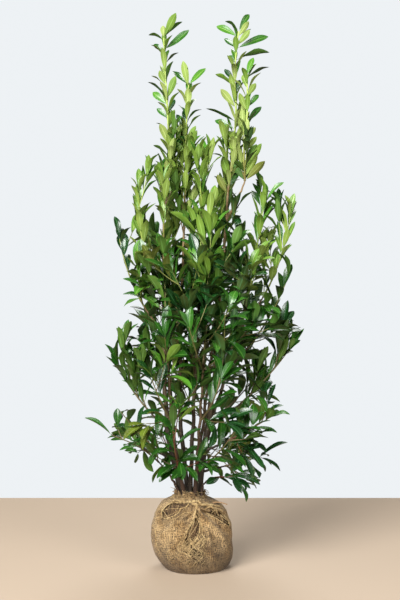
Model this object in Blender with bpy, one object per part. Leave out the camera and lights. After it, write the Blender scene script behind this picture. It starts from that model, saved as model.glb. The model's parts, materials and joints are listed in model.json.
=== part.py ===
"""A cherry laurel two metres tall, with many stems, standing on its root ball wrapped in burlap.

The frame is in metres with +Z up. The origin is on the flat underside of the root ball, -Y is the front,
and +X is to the right of someone who faces the plant. Stems, boughs and foliage grow by one seeded rule.
"""

import math
import random
from dataclasses import dataclass

import bmesh
import bpy
from mathutils import Vector
from mathutils.bvhtree import BVHTree

SEED = 41
GAP = 0.00035  # clear between two solids that touch in life
FLAT = math.radians(1.2)  # faces that meet at less than this are one

# Root ball
BALL_RADIUS = 0.145
BALL_WAIST = 0.095  # height at which the ball is widest
BALL_RISE = 0.165  # from the waist to where its upper curve would close
BALL_DROP = 0.130  # from the waist to where its lower curve would close
UPPER_POWER = 2.6  # how square the ball's shoulders are
LOWER_POWER = 2.3
CLOTH = 0.003
NECK_HEIGHT = 0.250
COLLAR = ((0.060, 0.266), (0.063, 0.281))  # radius and height of the gathered cloth round the stems
BASE_SHIFT = 0.017  # the ball leans this far to the right at its foot
NECK_SHIFT = -0.006
BALL_SIDES = 18
BALL_RINGS = 7
PLEATS = BALL_SIDES // 2
PLEAT_DEPTH = 0.03  # share of the radius at the neck
RING_SPREAD = 1.1  # above 1 the ball's rings crowd towards its foot
LUMP = 0.018  # share of the radius by which the ball is out of round
LUMP_WAVES = ((2, 0.7, 0, 1.0), (3, 0, 9, 0.6))  # waves round, phase, phase for each metre up, strength

# Tears in the cloth: azimuth in degrees and height at each end, widest gap, and the share along where that is
TEARS = (
    ((211, 0.206), (264, 0.242), 0.047, 0.34),
    ((278, 0.213), (261, 0.105), 0.031, 0.42),
    ((298, 0.230), (342, 0.174), 0.030, 0.60),
)
TEAR_STEPS = 6
TEAR_INWARDS = 0.012  # how far a tear's cut reaches inwards and outwards of the cloth
TEAR_OUTWARDS = 0.020
# The cloth's corners are tied in front of the stems
KNOT_AZIMUTH = 283
KNOT_HEIGHT = 0.240
KNOT_RADIUS = 0.014
KNOT_SEAT = 0.82  # share of its radius that the knot stands off the cloth
STRANDS = ((228, 0.249), (312, 0.227), (277, 0.216))  # azimuth and height where each strand of the knot ends
STRAND_RADIUS = 0.0065
STRAND_SEAT = 0.56
STRAND_TAPER = 0.45
STRAND_POINTS = 5
STRAND_SIDES = 5
KNOT_FLATNESS = 0.8

# Wood
STEM_SIDES = 6
STEM_RINGS = 7
BOUGH_SIDES = 5
BOUGH_RINGS = 4
FLARE = 0.35  # how much wider a stem is at its foot
FLARE_HEIGHT = 0.035
TWIG_BASE = 0.0042
TWIG_TIP = 0.0024
TWIG_RINGS = 4
PATH_POINTS = 40  # points of a smooth path before it is read at even steps
TIP_WIDTH = 1.12  # a limb's tip beside the twig that goes on from it
BOUGH_WIDTH = 1.5  # a bough's foot beside a twig's
TAPER_POWER = 0.8
SEAT_REACH = 0.08  # farther out than any stem is thick
BEND_SHARE = 0.45  # where a bough or spray bends, as a share of its length
BOUGH_PULLS = (0.8, 0.5, 0.1)  # how a bough's first direction heeds its aim, its stem's side and the sky
SPRAY_PULLS = (0.7, 0.6, 0.0)
SIDE_RADII = (0.0028, 0.0024)
SIDE_FIRST_LEAF = 0.24  # share of a side twig at which its leaves start
FIRST_LEAF = 0.10  # shares of a main twig at which its leaves and side twigs start
FIRST_TWIG = 0.08
LAST_TWIG = 0.74
BARE_FOOT = 0.03  # length of a main twig that has no side twigs
SIDE_SHORTENS = 0.3  # how much shorter the last side twig is than the first
SIDE_VARIES = (0.8, 1.15)
SIDE_SWAYS = 8  # degrees
SIDE_STEP = 0.9  # radians between the places tried for a side twig
FULL_TRIES = 8  # tries before a side twig is tried shorter
SHORTER = 0.7
SIDE_RISE = 0.25
SIDE_INSET = 0.045  # a side twig ends this far inside the crown's outline

# Leaves
LEAF_THICKNESS = 0.0017
LEAF_ROOT = 0.0009  # half the height of the stalk's end
LEAF_WIDEST = 0.56
LEAF_SINK = 0.0024  # how deep the last leaf's stalk goes into its twig's end
GOLDEN_ANGLE = math.radians(137.5)
CLEARANCE = 0.0013  # kept between a leaf and whatever isn't its own spray
OWN_CLEARANCE = 0.0003  # between two leaves of one spray
ATTEMPTS = 13  # places tried for a leaf or a twig before it is left out
LEAF_STEP = math.radians(23)  # between the places tried for a leaf
LENGTH_VARIES = (0.86, 1.06)
WIDTH_VARIES = (0.9, 1.1)
BEND_VARIES = (0.02, 0.08)  # how far a leaf's tip hangs below its stalk, as a share of its length
ANGLE_SWAYS = 7  # degrees
TIP_SWAYS = 0.08
SKYWARD = 0.8  # how far a leaf's upper side turns to the sky and along its twig
UPRIGHT = 0.98  # a twig steeper than this has no upper side of its own
SHARP_BARK = math.radians(50)
SHARP_LEAF = math.radians(35)


@dataclass(frozen=True)
class Habit:
    """How one kind of foliage grows. Its leaves are a little larger and fewer than on the living plant."""

    colour: str
    leaf_length: float
    leaf_width: float
    spacing: float  # between leaves along a twig
    open_foot: float  # degrees between a leaf and its twig, at the twig's foot
    open_tip: float
    twig_spacing: float  # between side twigs along the main one
    twig_reach: float
    twig_open: float  # degrees between a side twig and the main one


SHOOT = Habit("new_leaves", 0.104, 0.036, 0.033, 46, 26, 0.150, 0.120, 34)  # this year's upright shoots
BUSHY = Habit("leaves", 0.126, 0.047, 0.042, 64, 38, 0.084, 0.130, 50)
SKIRT = Habit("leaves", 0.120, 0.043, 0.041, 66, 42, 0.082, 0.120, 52)  # the spreading foot of the crown

# Crown outline: height, reach to the left and reach to the right of the origin
CROWN = (
    (0.28, 0.13, 0.24),
    (0.42, 0.26, 0.33),
    (0.62, 0.26, 0.32),
    (0.85, 0.27, 0.35),
    (1.10, 0.25, 0.34),
    (1.30, 0.24, 0.34),
    (1.45, 0.19, 0.29),
    (1.62, 0.14, 0.24),
)
DEPTH_SHARE = 0.88  # how deep the crown is beside its width
CROWN_SLACK = 0.012  # a leaf may stand this far out of the outline


@dataclass
class Stem:
    """One stem from the root ball: its foot, two points that it passes, its twig's end and its size."""

    name: str
    foot: tuple
    low: tuple
    high: tuple
    tip: tuple
    radius: float
    leafy_from: float  # share of its length at which the foliage at its end starts
    habit: Habit
    lean: tuple = (0, 0, 0)  # added to the direction of the last leaf
    droop: float = 0.0


STEMS = (
    Stem("right_leader", (0.024, -0.004), (0.084, 0.008, 0.69), (0.128, 0.010, 1.29), (0.160, 0, 1.915),
         0.0130, 0.66, SHOOT, (0.45, 0, 0)),
    Stem("left_leader", (-0.036, 0.004), (-0.090, 0, 0.54), (-0.100, 0.004, 1.18), (-0.099, 0, 1.885),
         0.0100, 0.62, SHOOT, (0.40, 0, 0)),
    Stem("left_second", (-0.014, 0.017), (-0.042, 0.030, 0.60), (-0.028, 0.030, 1.20), (-0.012, 0.010, 1.735),
         0.0085, 0.64, SHOOT, (-0.20, 0, 0)),
    Stem("centre", (-0.004, -0.020), (0.008, -0.050, 0.56), (0.028, -0.055, 1.00), (0.044, -0.040, 1.450),
         0.0080, 0.66, BUSHY, (-0.15, 0, 0)),
    Stem("right_second", (0.030, 0.023), (0.068, 0.032, 0.50), (0.190, 0.035, 0.90), (0.266, 0.020, 1.320),
         0.0085, 0.68, BUSHY, (0.25, 0, 0)),
    Stem("left_low", (-0.037, -0.017), (-0.09, -0.02, 0.350), (-0.18, -0.02, 0.430), (-0.286, -0.02, 0.478),
         0.0050, 0.45, SKIRT, (-0.2, 0, 0.35), 0.12),
    Stem("front_right", (0.012, -0.036), (0.030, -0.095, 0.52), (0.050, -0.120, 0.85), (0.070, -0.120, 1.200),
         0.0070, 0.58, BUSHY),
    Stem("front_left", (-0.024, -0.032), (-0.062, -0.09, 0.48), (-0.085, -0.12, 0.80), (-0.095, -0.11, 1.12),
         0.0070, 0.58, BUSHY),
    Stem("back_left", (-0.034, 0.028), (-0.075, 0.090, 0.56), (-0.090, 0.130, 0.95), (-0.080, 0.125, 1.310),
         0.0070, 0.64, BUSHY),
    Stem("back_right", (0.010, 0.036), (0.050, 0.100, 0.56), (0.090, 0.140, 0.95), (0.110, 0.130, 1.360),
         0.0070, 0.64, BUSHY),
    Stem("low_twig", (0.035, -0.028), (0.048, -0.031, 0.308), (0.110, -0.032, 0.330), (0.168, -0.03, 0.312),
         0.0040, 0.55, SKIRT, (0.2, 0, -0.7), 0.5),
)


@dataclass
class Bough:
    """One bough: the stem it leaves, at what height, where its last leaf ends, and how far it runs bare."""

    name: str
    stem: str
    height: float
    aim: tuple
    bare: float  # share of the way to its aim that is bare wood
    habit: Habit
    droop: float = 0.0


BOUGHS = (
    Bough("leader_twin", "right_leader", 1.26, (0.216, -0.020, 1.835), 0.30, SHOOT),
    Bough("left_shoot", "left_leader", 0.98, (-0.180, -0.030, 1.440), 0.28, SHOOT),
    Bough("left_high", "left_leader", 0.84, (-0.274, 0.010, 1.272), 0.32, BUSHY),
    Bough("left_middle", "left_leader", 0.50, (-0.305, 0.020, 0.805), 0.34, BUSHY),
    Bough("left_lower", "left_leader", 0.38, (-0.300, -0.070, 0.640), 0.32, SKIRT, 0.1),
    Bough("right_high", "right_second", 0.86, (0.370, 0.030, 1.352), 0.30, BUSHY),
    Bough("right_upper", "right_second", 0.72, (0.376, -0.030, 1.130), 0.30, BUSHY),
    Bough("right_middle", "right_second", 0.50, (0.408, 0.010, 0.860), 0.34, BUSHY, 0.1),
    Bough("right_lower", "right_leader", 0.42, (0.354, -0.040, 0.590), 0.36, SKIRT, 0.2),
    Bough("right_bottom", "right_leader", 0.34, (0.335, 0.010, 0.420), 0.40, SKIRT, 0.4),
)

# Sprays straight off the stems, in tiers from the foot of the crown up: height and azimuths
TIERS = (
    (0.36, (250, 310, 60, 130), SKIRT),
    (0.54, (225, 285, 30, 95), BUSHY),
    (0.72, (255, 315, 75, 140), BUSHY),
    (0.90, (235, 285, 50, 110), BUSHY),
)
LOW_STEMS = ("left_low", "low_twig")
SPRAY_RISE = 0.27
SPRAY_DROOP = 0.25  # at the foot of the crown, none at its top
DROOP_TOP = 0.95  # height above which no spray droops
HOST_SHARE = 0.14  # share of a spray's first stretch that may lie against its stem
AZIMUTH_STEPS = (0, 7, -7, 14, -14, 21, -21, 28, -28)  # degrees tried either side of a spray's azimuth

COLOURS = {
    "burlap": ((0.44, 0.30, 0.14), 0.95),
    "soil": ((0.09, 0.06, 0.035), 1.0),
    "bark": ((0.11, 0.075, 0.05), 0.85),
    "leaves": ((0.035, 0.095, 0.015), 0.38),
    "new_leaves": ((0.16, 0.30, 0.035), 0.42),
}


def clear_scene():
    """Empties the file of its objects."""
    for item in list(bpy.data.objects):
        bpy.data.objects.remove(item, do_unlink=True)


def material(name, kind):
    """A plain Principled finish of one of the plant's colours."""
    colour, roughness = COLOURS[kind]
    made = bpy.data.materials.new(name)
    made.use_nodes = True
    shader = made.node_tree.nodes["Principled BSDF"]
    shader.inputs["Base Color"].default_value = (*colour, 1)
    shader.inputs["Roughness"].default_value = roughness
    shader.inputs["Metallic"].default_value = 0
    return made


def add_object(name, bm, kind=None, smooth=True):
    """Turns a bmesh into an object in the scene, with its faces pointing outwards."""
    bmesh.ops.recalc_face_normals(bm, faces=bm.faces)
    bmesh.ops.triangulate(bm, faces=bm.faces)
    mesh = bpy.data.meshes.new(name)
    bm.to_mesh(mesh)
    bm.free()
    made = bpy.data.objects.new(name, mesh)
    bpy.context.scene.collection.objects.link(made)
    if kind:
        mesh.materials.append(material(name, kind))
    if smooth:
        mesh.shade_smooth()
        mesh.set_sharp_from_angle(angle=SHARP_BARK)
    return made


def tree_of(made):
    """The search tree of an object's triangles."""
    mesh = made.data
    points = [made.matrix_world @ v.co for v in mesh.vertices]
    return BVHTree.FromPolygons(points, [tuple(p.vertices) for p in mesh.polygons])


def between(rows, height):
    """Reads a table of (height, value, value) rows at any height."""
    if height <= rows[0][0]:
        return rows[0][1:]
    for low, high in zip(rows, rows[1:]):
        if height <= high[0]:
            share = (height - low[0]) / (high[0] - low[0])
            return tuple(a + (b - a) * share for a, b in zip(low[1:], high[1:]))
    return rows[-1][1:]


def smooth_path(points, count):
    """Evenly numbered points of a smooth curve that rises from the first of its points through the rest."""
    points = [Vector(p) for p in points]
    below = points[0] - Vector((0, 0, (points[1] - points[0]).length))
    ends = [below, *points, 2 * points[-1] - points[-2]]
    path = []
    for i in range(count):
        at = i / (count - 1) * (len(points) - 1)
        k = min(int(at), len(points) - 2)
        t = at - k
        a, b, c, d = ends[k:k + 4]
        path.append(0.5 * (2 * b + (c - a) * t + (2 * a - 5 * b + 4 * c - d) * t * t
                           + (3 * b - a - 3 * c + d) * t ** 3))
    return path


def resample(path, start, end, count):
    """Points of a path between two shares of its length, evenly spaced."""
    lengths = [0.0]
    for a, b in zip(path, path[1:]):
        lengths.append(lengths[-1] + (b - a).length)
    found = []
    for i in range(count):
        wanted = lengths[-1] * (start + (end - start) * i / (count - 1))
        k = max(0, min(len(path) - 2, sum(1 for x in lengths if x <= wanted) - 1))
        share = (wanted - lengths[k]) / max(lengths[k + 1] - lengths[k], 1e-9)
        found.append(path[k].lerp(path[k + 1], share))
    return found


def first_way(spot, normal, aim, pulls):
    """The direction in which a limb leaves its stem."""
    to_aim, off_stem, to_sky = pulls
    return (aim - spot).normalized() * to_aim + normal * off_stem + Vector((0, 0, to_sky))


def bent_path(start, way, end):
    """A curve that leaves start in the given direction and bends to its end."""
    control = start + way.normalized() * (end - start).length * BEND_SHARE
    points = []
    for i in range(PATH_POINTS):
        t = i / (PATH_POINTS - 1)
        points.append(start * (1 - t) ** 2 + control * 2 * t * (1 - t) + end * t * t)
    return points


def tube(path, radii, sides, foot_normal=None):
    """A closed tapering tube along a path. Its first ring can lie in a plane of its own."""
    bm = bmesh.new()
    rings = []
    across = None
    for i, centre in enumerate(path):
        ahead = path[min(i + 1, len(path) - 1)] - path[max(i - 1, 0)]
        normal = ahead.normalized()
        if i == 0 and foot_normal is not None:
            normal = foot_normal.normalized()
        if across is None:
            across = normal.orthogonal()
        across = (across - normal * across.dot(normal)).normalized()
        beside = normal.cross(across)
        ring = []
        for k in range(sides):
            turn = 2 * math.pi * k / sides
            ring.append(bm.verts.new(centre + (across * math.cos(turn) + beside * math.sin(turn)) * radii[i]))
        rings.append(ring)
    for low, high in zip(rings, rings[1:]):
        for k in range(sides):
            n = (k + 1) % sides
            bm.faces.new((low[k], low[n], high[n], high[k]))
    bm.faces.new(list(reversed(rings[0])))
    bm.faces.new(rings[-1])
    return bm


# Root ball


def ball_radius(height):
    """The ball's mean radius at a height, before lumps and pleats."""
    above = height > BALL_WAIST
    share = (height - BALL_WAIST) / BALL_RISE if above else (BALL_WAIST - height) / BALL_DROP
    power = UPPER_POWER if above else LOWER_POWER
    return BALL_RADIUS * (1 - share ** power) ** (1 / power)


def ball_profile(inset, with_collar):
    """Radius and height of each ring of one skin of the ball, from the floor up, with its true height."""
    turns = [math.pi / 2 * i / BALL_RINGS for i in range(BALL_RINGS + 1)]
    heights = [NECK_HEIGHT * math.sin(turn) ** RING_SPREAD for turn in turns]
    outline = [(ball_radius(h), h) for h in heights]
    rings = []
    for i, (radius, height) in enumerate(outline):
        if i == 0:
            rings.append((radius - inset, inset, height))
        elif i == len(outline) - 1:
            rings.append((radius - inset, height, height))
        else:
            before, after = outline[i - 1], outline[i + 1]
            along = Vector((after[0] - before[0], after[1] - before[1])).normalized()
            rings.append((radius - along.y * inset, height + along.x * inset, height))
    if with_collar:
        rings += [(radius - inset, height, height) for radius, height in COLLAR]
    return rings


def ball_point(azimuth, radius, height, true_height):
    """A point of the ball at an azimuth, with the ball's lean, lumps and the pleats under its neck."""
    share = min(true_height / NECK_HEIGHT, 1.0)
    shift = BASE_SHIFT * max(0.0, 1 - true_height / BALL_WAIST) + NECK_SHIFT * share ** 3
    lump = LUMP * sum(strength * math.sin(waves * azimuth + phase + twist * true_height)
                      for waves, phase, twist, strength in LUMP_WAVES)
    pleat = PLEAT_DEPTH * share ** 5 * math.cos(PLEATS * azimuth)
    around = radius * (1 + lump * (1 - share ** 4) + pleat)
    return Vector((shift + around * math.cos(azimuth), around * math.sin(azimuth), height))


def ball_rings(bm, inset, with_collar):
    """The rings of one skin of the ball."""
    rings = []
    for radius, height, true_height in ball_profile(inset, with_collar):
        ring = []
        for k in range(BALL_SIDES):
            azimuth = 2 * math.pi * k / BALL_SIDES
            ring.append(bm.verts.new(ball_point(azimuth, radius, height, true_height)))
        rings.append(ring)
    return rings


def join_rings(bm, rings):
    """Walls between each ring and the next."""
    for low, high in zip(rings, rings[1:]):
        for k in range(len(low)):
            n = (k + 1) % len(low)
            bm.faces.new((low[k], low[n], high[n], high[k]))


def soil_ball():
    """The earth that the roots hold, flat where it stands and where the stems rise from it."""
    bm = bmesh.new()
    rings = ball_rings(bm, CLOTH + GAP, False)
    join_rings(bm, rings)
    bm.faces.new(rings[0])
    bm.faces.new(rings[-1])
    return add_object("soil_ball", bm, "soil")


def surface_spot(azimuth_deg, height, outwards=0.0):
    """A point on the cloth, at an azimuth and height, and the way out of the ball there."""
    azimuth = math.radians(azimuth_deg)
    spot = ball_point(azimuth, ball_radius(height), height, height)
    lower = height - TEAR_INWARDS
    low = ball_point(azimuth, ball_radius(lower), lower, lower)
    up = (spot - low).normalized()
    beside = Vector((-math.sin(azimuth), math.cos(azimuth), 0))
    out = beside.cross(up).normalized()
    return spot + out * outwards, out


def tear_cutter(start, end, gap, widest):
    """A lens through the cloth, between two spots on it, that cuts a tear."""
    bm = bmesh.new()
    sides = []
    for side in (1, -1):
        for i in range(TEAR_STEPS):
            t = (i if side > 0 else TEAR_STEPS - i) / TEAR_STEPS
            azimuth = start[0] + (end[0] - start[0]) * t
            height = start[1] + (end[1] - start[1]) * t
            spot, out = surface_spot(azimuth, height)
            nearby, _ = surface_spot(azimuth + (end[0] - start[0]) / 50, height + (end[1] - start[1]) / 50)
            along = (nearby - spot).normalized()
            skew = t ** (math.log(0.5) / math.log(widest))
            half = gap / 2 * math.sin(math.pi * skew) * side
            sides.append((spot + out.cross(along) * half, out))
    inner = [bm.verts.new(spot - out * TEAR_INWARDS) for spot, out in sides]
    outer = [bm.verts.new(spot + out * TEAR_OUTWARDS) for spot, out in sides]
    join_rings(bm, [inner, outer])
    bm.faces.new(inner)
    bm.faces.new(outer)
    return add_object("tear", bm, smooth=False)


def strand(azimuth_deg, height):
    """One twisted corner of the cloth, from the knot along the ball."""
    path, radii = [], []
    for i in range(STRAND_POINTS):
        t = i / (STRAND_POINTS - 1)
        radius = STRAND_RADIUS * (1 - STRAND_TAPER * t)
        spot, _ = surface_spot(KNOT_AZIMUTH + (azimuth_deg - KNOT_AZIMUTH) * t,
                               KNOT_HEIGHT + (height - KNOT_HEIGHT) * t, radius * STRAND_SEAT)
        path.append(spot)
        radii.append(radius)
    return add_object("strand", tube(path, radii, STRAND_SIDES), smooth=False)


def knot():
    """The lump of the tied corners."""
    bm = bmesh.new()
    centre, _ = surface_spot(KNOT_AZIMUTH, KNOT_HEIGHT, KNOT_RADIUS * KNOT_SEAT)
    bmesh.ops.create_icosphere(bm, subdivisions=1, radius=KNOT_RADIUS)
    for v in bm.verts:
        v.co.z *= KNOT_FLATNESS
        v.co += centre
    return add_object("knot", bm, smooth=False)


def run_boolean(target, others, operation, solver="EXACT"):
    """Applies one Boolean on a collection of objects, and removes them."""
    group = bpy.data.collections.new("operands")
    bpy.context.scene.collection.children.link(group)
    for item in others:
        bpy.context.scene.collection.objects.unlink(item)
        group.objects.link(item)
    cut = target.modifiers.new("join", "BOOLEAN")
    cut.operand_type = "COLLECTION"
    cut.collection = group
    cut.operation = operation
    cut.solver = solver
    graph = bpy.context.evaluated_depsgraph_get()
    result = bpy.data.meshes.new_from_object(target.evaluated_get(graph))
    target.modifiers.clear()
    for item in others:
        bpy.data.objects.remove(item, do_unlink=True)
    bpy.data.collections.remove(group)
    return result


def shells(bm):
    """The connected bodies of a bmesh, each with its signed volume."""
    left = set(bm.faces)
    found = []
    while left:
        start = left.pop()
        body, edge = [start], [start]
        while edge:
            for line in edge.pop().edges:
                for face in line.link_faces:
                    if face in left:
                        left.remove(face)
                        body.append(face)
                        edge.append(face)
        volume = sum(f.verts[0].co.dot(f.verts[1].co.cross(f.verts[2].co)) / 6 for f in body)
        found.append((volume, body))
    return found


def tidy_solid(mesh):
    """A bmesh of the largest body of a fused mesh, in triangles, without scraps or sealed hollows."""
    bm = bmesh.new()
    bm.from_mesh(mesh)
    bmesh.ops.triangulate(bm, faces=bm.faces)
    bmesh.ops.dissolve_degenerate(bm, dist=2e-6, edges=bm.edges)
    bmesh.ops.dissolve_limit(bm, angle_limit=FLAT, verts=bm.verts, edges=bm.edges)
    bmesh.ops.triangulate(bm, faces=bm.faces)
    bodies = sorted(shells(bm), key=lambda body: -body[0])
    for _, faces in bodies[1:]:
        bmesh.ops.delete(bm, geom=faces, context="FACES")
    return bm


def is_closed(bm):
    """True if every edge joins two faces and every corner belongs to one fan of faces."""
    return all(len(e.link_faces) == 2 for e in bm.edges) and all(v.is_manifold for v in bm.verts)


def burlap_wrap():
    """The cloth round the ball: a shell with a gathered collar, three tears and its corners in a knot."""
    bm = bmesh.new()
    outer = ball_rings(bm, 0.0, True)
    inner = ball_rings(bm, CLOTH, True)
    join_rings(bm, outer)
    join_rings(bm, [list(reversed(ring)) for ring in inner])
    join_rings(bm, [outer[-1], inner[-1]])
    bm.faces.new(outer[0])
    bm.faces.new(inner[0])
    wrap = add_object("burlap_wrap", bm, "burlap")
    parts = [knot()] + [strand(azimuth, height) for azimuth, height in STRANDS]
    wrap.data = run_boolean(wrap, parts, "UNION")
    cutters = [tear_cutter(start, end, gap, widest) for start, end, gap, widest in TEARS]
    fused = run_boolean(wrap, cutters, "DIFFERENCE")
    solid = tidy_solid(fused)
    solid.to_mesh(wrap.data)
    solid.free()
    wrap.data.shade_smooth()
    wrap.data.set_sharp_from_angle(angle=SHARP_BARK)
    return wrap


# Growth rule


@dataclass
class Limb:
    """A limb's object with the path of its wood and the path of the foliage that goes on from it."""

    made: object
    wood: list
    leafy: list
    tree: object


def limb(name, path, radius, bare, sides, rings, foot_normal, flare):
    """Builds the bare part of a limb, and keeps the rest of its path for its foliage."""
    wood = resample(path, 0, bare, rings)
    tip_radius = TWIG_BASE * TIP_WIDTH
    radii = []
    for i, centre in enumerate(wood):
        share = i / (rings - 1)
        width = radius + (tip_radius - radius) * share ** TAPER_POWER
        if flare:
            width *= 1 + FLARE * math.exp(-(centre.z - wood[0].z) / FLARE_HEIGHT)
        radii.append(width)
    made = add_object(name, tube(wood, radii, sides, foot_normal), "bark")
    return Limb(made, wood, resample(path, bare, 1, PATH_POINTS), tree_of(made))


def seat(host, height, towards):
    """The spot on a stem's side that faces a point, at a height, and the way its face looks there."""
    low, high = next((a, b) for a, b in zip(host.wood, host.wood[1:]) if b.z > height)
    axis = low.lerp(high, (height - low.z) / (high.z - low.z))
    way = Vector((towards.x - axis.x, towards.y - axis.y, 0)).normalized()
    spot, normal, _, _ = host.tree.ray_cast(axis + way * SEAT_REACH, -way)
    return spot + normal * GAP, normal


def make_stems():
    """All the stems, with their feet cut flat just above the soil."""
    found = {}
    ground = NECK_HEIGHT + GAP
    for stem in STEMS:
        path = smooth_path(((*stem.foot, ground), stem.low, stem.high, stem.tip), PATH_POINTS)
        found[stem.name] = limb("stem_" + stem.name, path, stem.radius, stem.leafy_from, STEM_SIDES,
                                STEM_RINGS, Vector((0, 0, 1)), True)
    return found


def short_of_leaf(path, habit):
    """A path cut short by one leaf, so that the last leaf of its twig ends where the path did."""
    reach = sum((b - a).length for a, b in zip(path, path[1:]))
    return resample(path, 0, 1 - habit.leaf_length / reach, len(path))


def make_boughs(stems):
    """The boughs, each seated on its stem and reaching to where its foliage starts."""
    found = {}
    for bough in BOUGHS:
        aim = Vector(bough.aim)
        host = stems[bough.stem]
        spot, normal = seat(host, bough.height, aim)
        path = short_of_leaf(bent_path(spot, first_way(spot, normal, aim, BOUGH_PULLS), aim), bough.habit)
        radius = TWIG_BASE * BOUGH_WIDTH
        found[bough.name] = limb("bough_" + bough.name, path, radius, bough.bare, BOUGH_SIDES, BOUGH_RINGS,
                                 normal, False)
    return found


def crown_reach(azimuth, height):
    """How far the crown reaches from its own axis at an azimuth and height, and where that axis is."""
    left, right = between(CROWN, height)
    centre = (right - left) / 2
    half = (right + left) / 2
    deep = half * DEPTH_SHARE
    reach = half * deep / math.hypot(deep * math.cos(azimuth), half * math.sin(azimuth))
    return reach, Vector((centre, 0, height))


def in_crown(point, slack=CROWN_SLACK):
    """True if a point lies inside the crown's outline."""
    if point.z > CROWN[-1][0]:
        return True
    left, right = between(CROWN, point.z)
    half = (right + left) / 2 + slack
    return ((point.x - (right - left) / 2) / half) ** 2 + (point.y / (half * DEPTH_SHARE)) ** 2 < 1


def leaf_corners(root, way, face, length, width, bend, swell=0.0):
    """The six corners of one leaf: its stalk's two ends, its widest points, its keel and its tip."""
    beside = way.cross(face).normalized()
    middle = root + way * (length * LEAF_WIDEST) + face * (length * bend * 0.5)
    tip = root + way * length - face * (length * bend)
    return [
        root + face * (LEAF_ROOT + swell),
        root - face * (LEAF_ROOT + swell),
        middle + beside * (width / 2 + swell) + face * swell,
        middle - beside * (width / 2 + swell) + face * swell,
        middle - face * (LEAF_THICKNESS + swell),
        tip + way * swell,
    ]


LEAF_FACES = ((0, 3, 2), (2, 3, 5), (1, 4, 3), (1, 2, 4), (4, 5, 3), (4, 2, 5), (0, 1, 3), (1, 0, 2))


def leaf_solid(corners):
    """One leaf as a closed solid of eight faces."""
    bm = bmesh.new()
    points = [bm.verts.new(c) for c in corners]
    for face in LEAF_FACES:
        bm.faces.new([points[i] for i in face])
    return bm


@dataclass
class Mass:
    """A mass of foliage before it has leaves: the path of its main twig and the way it grows."""

    name: str
    path: list
    foot_normal: Vector
    habit: Habit
    droop: float
    lean: tuple
    seed: int


class Crown:
    """All limbs, main twigs and finished masses, so that what is grown next keeps clear of them."""

    def __init__(self, limbs):
        self.limbs = limbs
        self.mains = {}
        self.masses = []
        self.wanted = 0
        self.grown = 0

    def plan(self, mass):
        """Keeps a mass's main twig free from now on."""
        self.mains[mass.name] = wide_tree(mass.path)

    def others(self, name):
        """The search trees of all that isn't the named mass."""
        return [*self.limbs, *self.masses, *(tree for key, tree in self.mains.items() if key != name)]


def wide_tree(path):
    """The search tree of a tube a little wider than a twig."""
    wide = tube(path, [TWIG_BASE + CLEARANCE] * len(path), STEM_SIDES)
    tree = BVHTree.FromBMesh(wide)
    wide.free()
    return tree


def is_free(tree, others):
    """True if a shape crosses none of the others."""
    return not any(tree.overlap(other) for other in others)


def leaf_way(axis, turn, open_angle, droop):
    """The direction and the upper side of a leaf that leaves a twig at a turn round its axis."""
    side = axis.orthogonal().normalized()
    if abs(axis.z) < UPRIGHT:
        side = (Vector((0, 0, 1)) - axis * axis.z).normalized()
    other = axis.cross(side)
    out = side * math.cos(turn) + other * math.sin(turn)
    way = (axis * math.cos(open_angle) + out * math.sin(open_angle) - Vector((0, 0, droop))).normalized()
    up = (axis + Vector((0, 0, 1))) * SKYWARD
    face = (up - way * up.dot(way)).normalized()
    return way, face


def grow_leaves(crown, rng, path, others, own, habit, droop, first, last_way):
    """Corners of the leaves along one twig, from the one at its end down, each clear of all others."""
    found = []
    points = resample(path, 0, 1, PATH_POINTS)
    length = sum((b - a).length for a, b in zip(path, path[1:]))
    count = max(2, round(length * (1 - first) / habit.spacing) + 1)
    turn = rng.uniform(0, 2 * math.pi)
    for i in reversed(range(count)):
        is_last = i == count - 1
        share = first + (1 - first) * i / (count - 1)
        at = share * (len(points) - 1)
        k = min(int(at), len(points) - 2)
        root = points[k].lerp(points[k + 1], min(at - k, 1.0))
        axis = (points[k + 1] - points[k]).normalized()
        turn += GOLDEN_ANGLE
        length = habit.leaf_length * (1.0 if is_last else rng.uniform(*LENGTH_VARIES))
        width = habit.leaf_width * rng.uniform(*WIDTH_VARIES)
        bend = rng.uniform(*BEND_VARIES)
        crown.wanted += 1
        for attempt in range(ATTEMPTS):
            step = ((attempt + 1) // 2) * (1 if attempt % 2 else -1) * LEAF_STEP
            open_angle = math.radians(habit.open_foot + (habit.open_tip - habit.open_foot) * share
                                      + rng.uniform(-ANGLE_SWAYS, ANGLE_SWAYS))
            way, face = leaf_way(axis, turn + step, open_angle, droop)
            if is_last:
                root = points[-1] - axis * LEAF_SINK
                sway = Vector((rng.uniform(-1, 1), rng.uniform(-1, 1), 0)) * TIP_SWAYS * attempt
                way = (last_way + sway).normalized()
                face = (face - way * face.dot(way)).normalized()
            thin = leaf_corners(root, way, face, length, width, bend)
            fat = leaf_corners(root, way, face, length, width, bend, CLEARANCE)
            shape = BVHTree.FromPolygons(fat, LEAF_FACES)
            if (is_last or in_crown(thin[5])) and is_free(shape, (*others, *own)):
                close = leaf_corners(root, way, face, length, width, bend, OWN_CLEARANCE)
                own.append(BVHTree.FromPolygons(close, LEAF_FACES))
                found.append(thin)
                break
    return found


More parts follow.
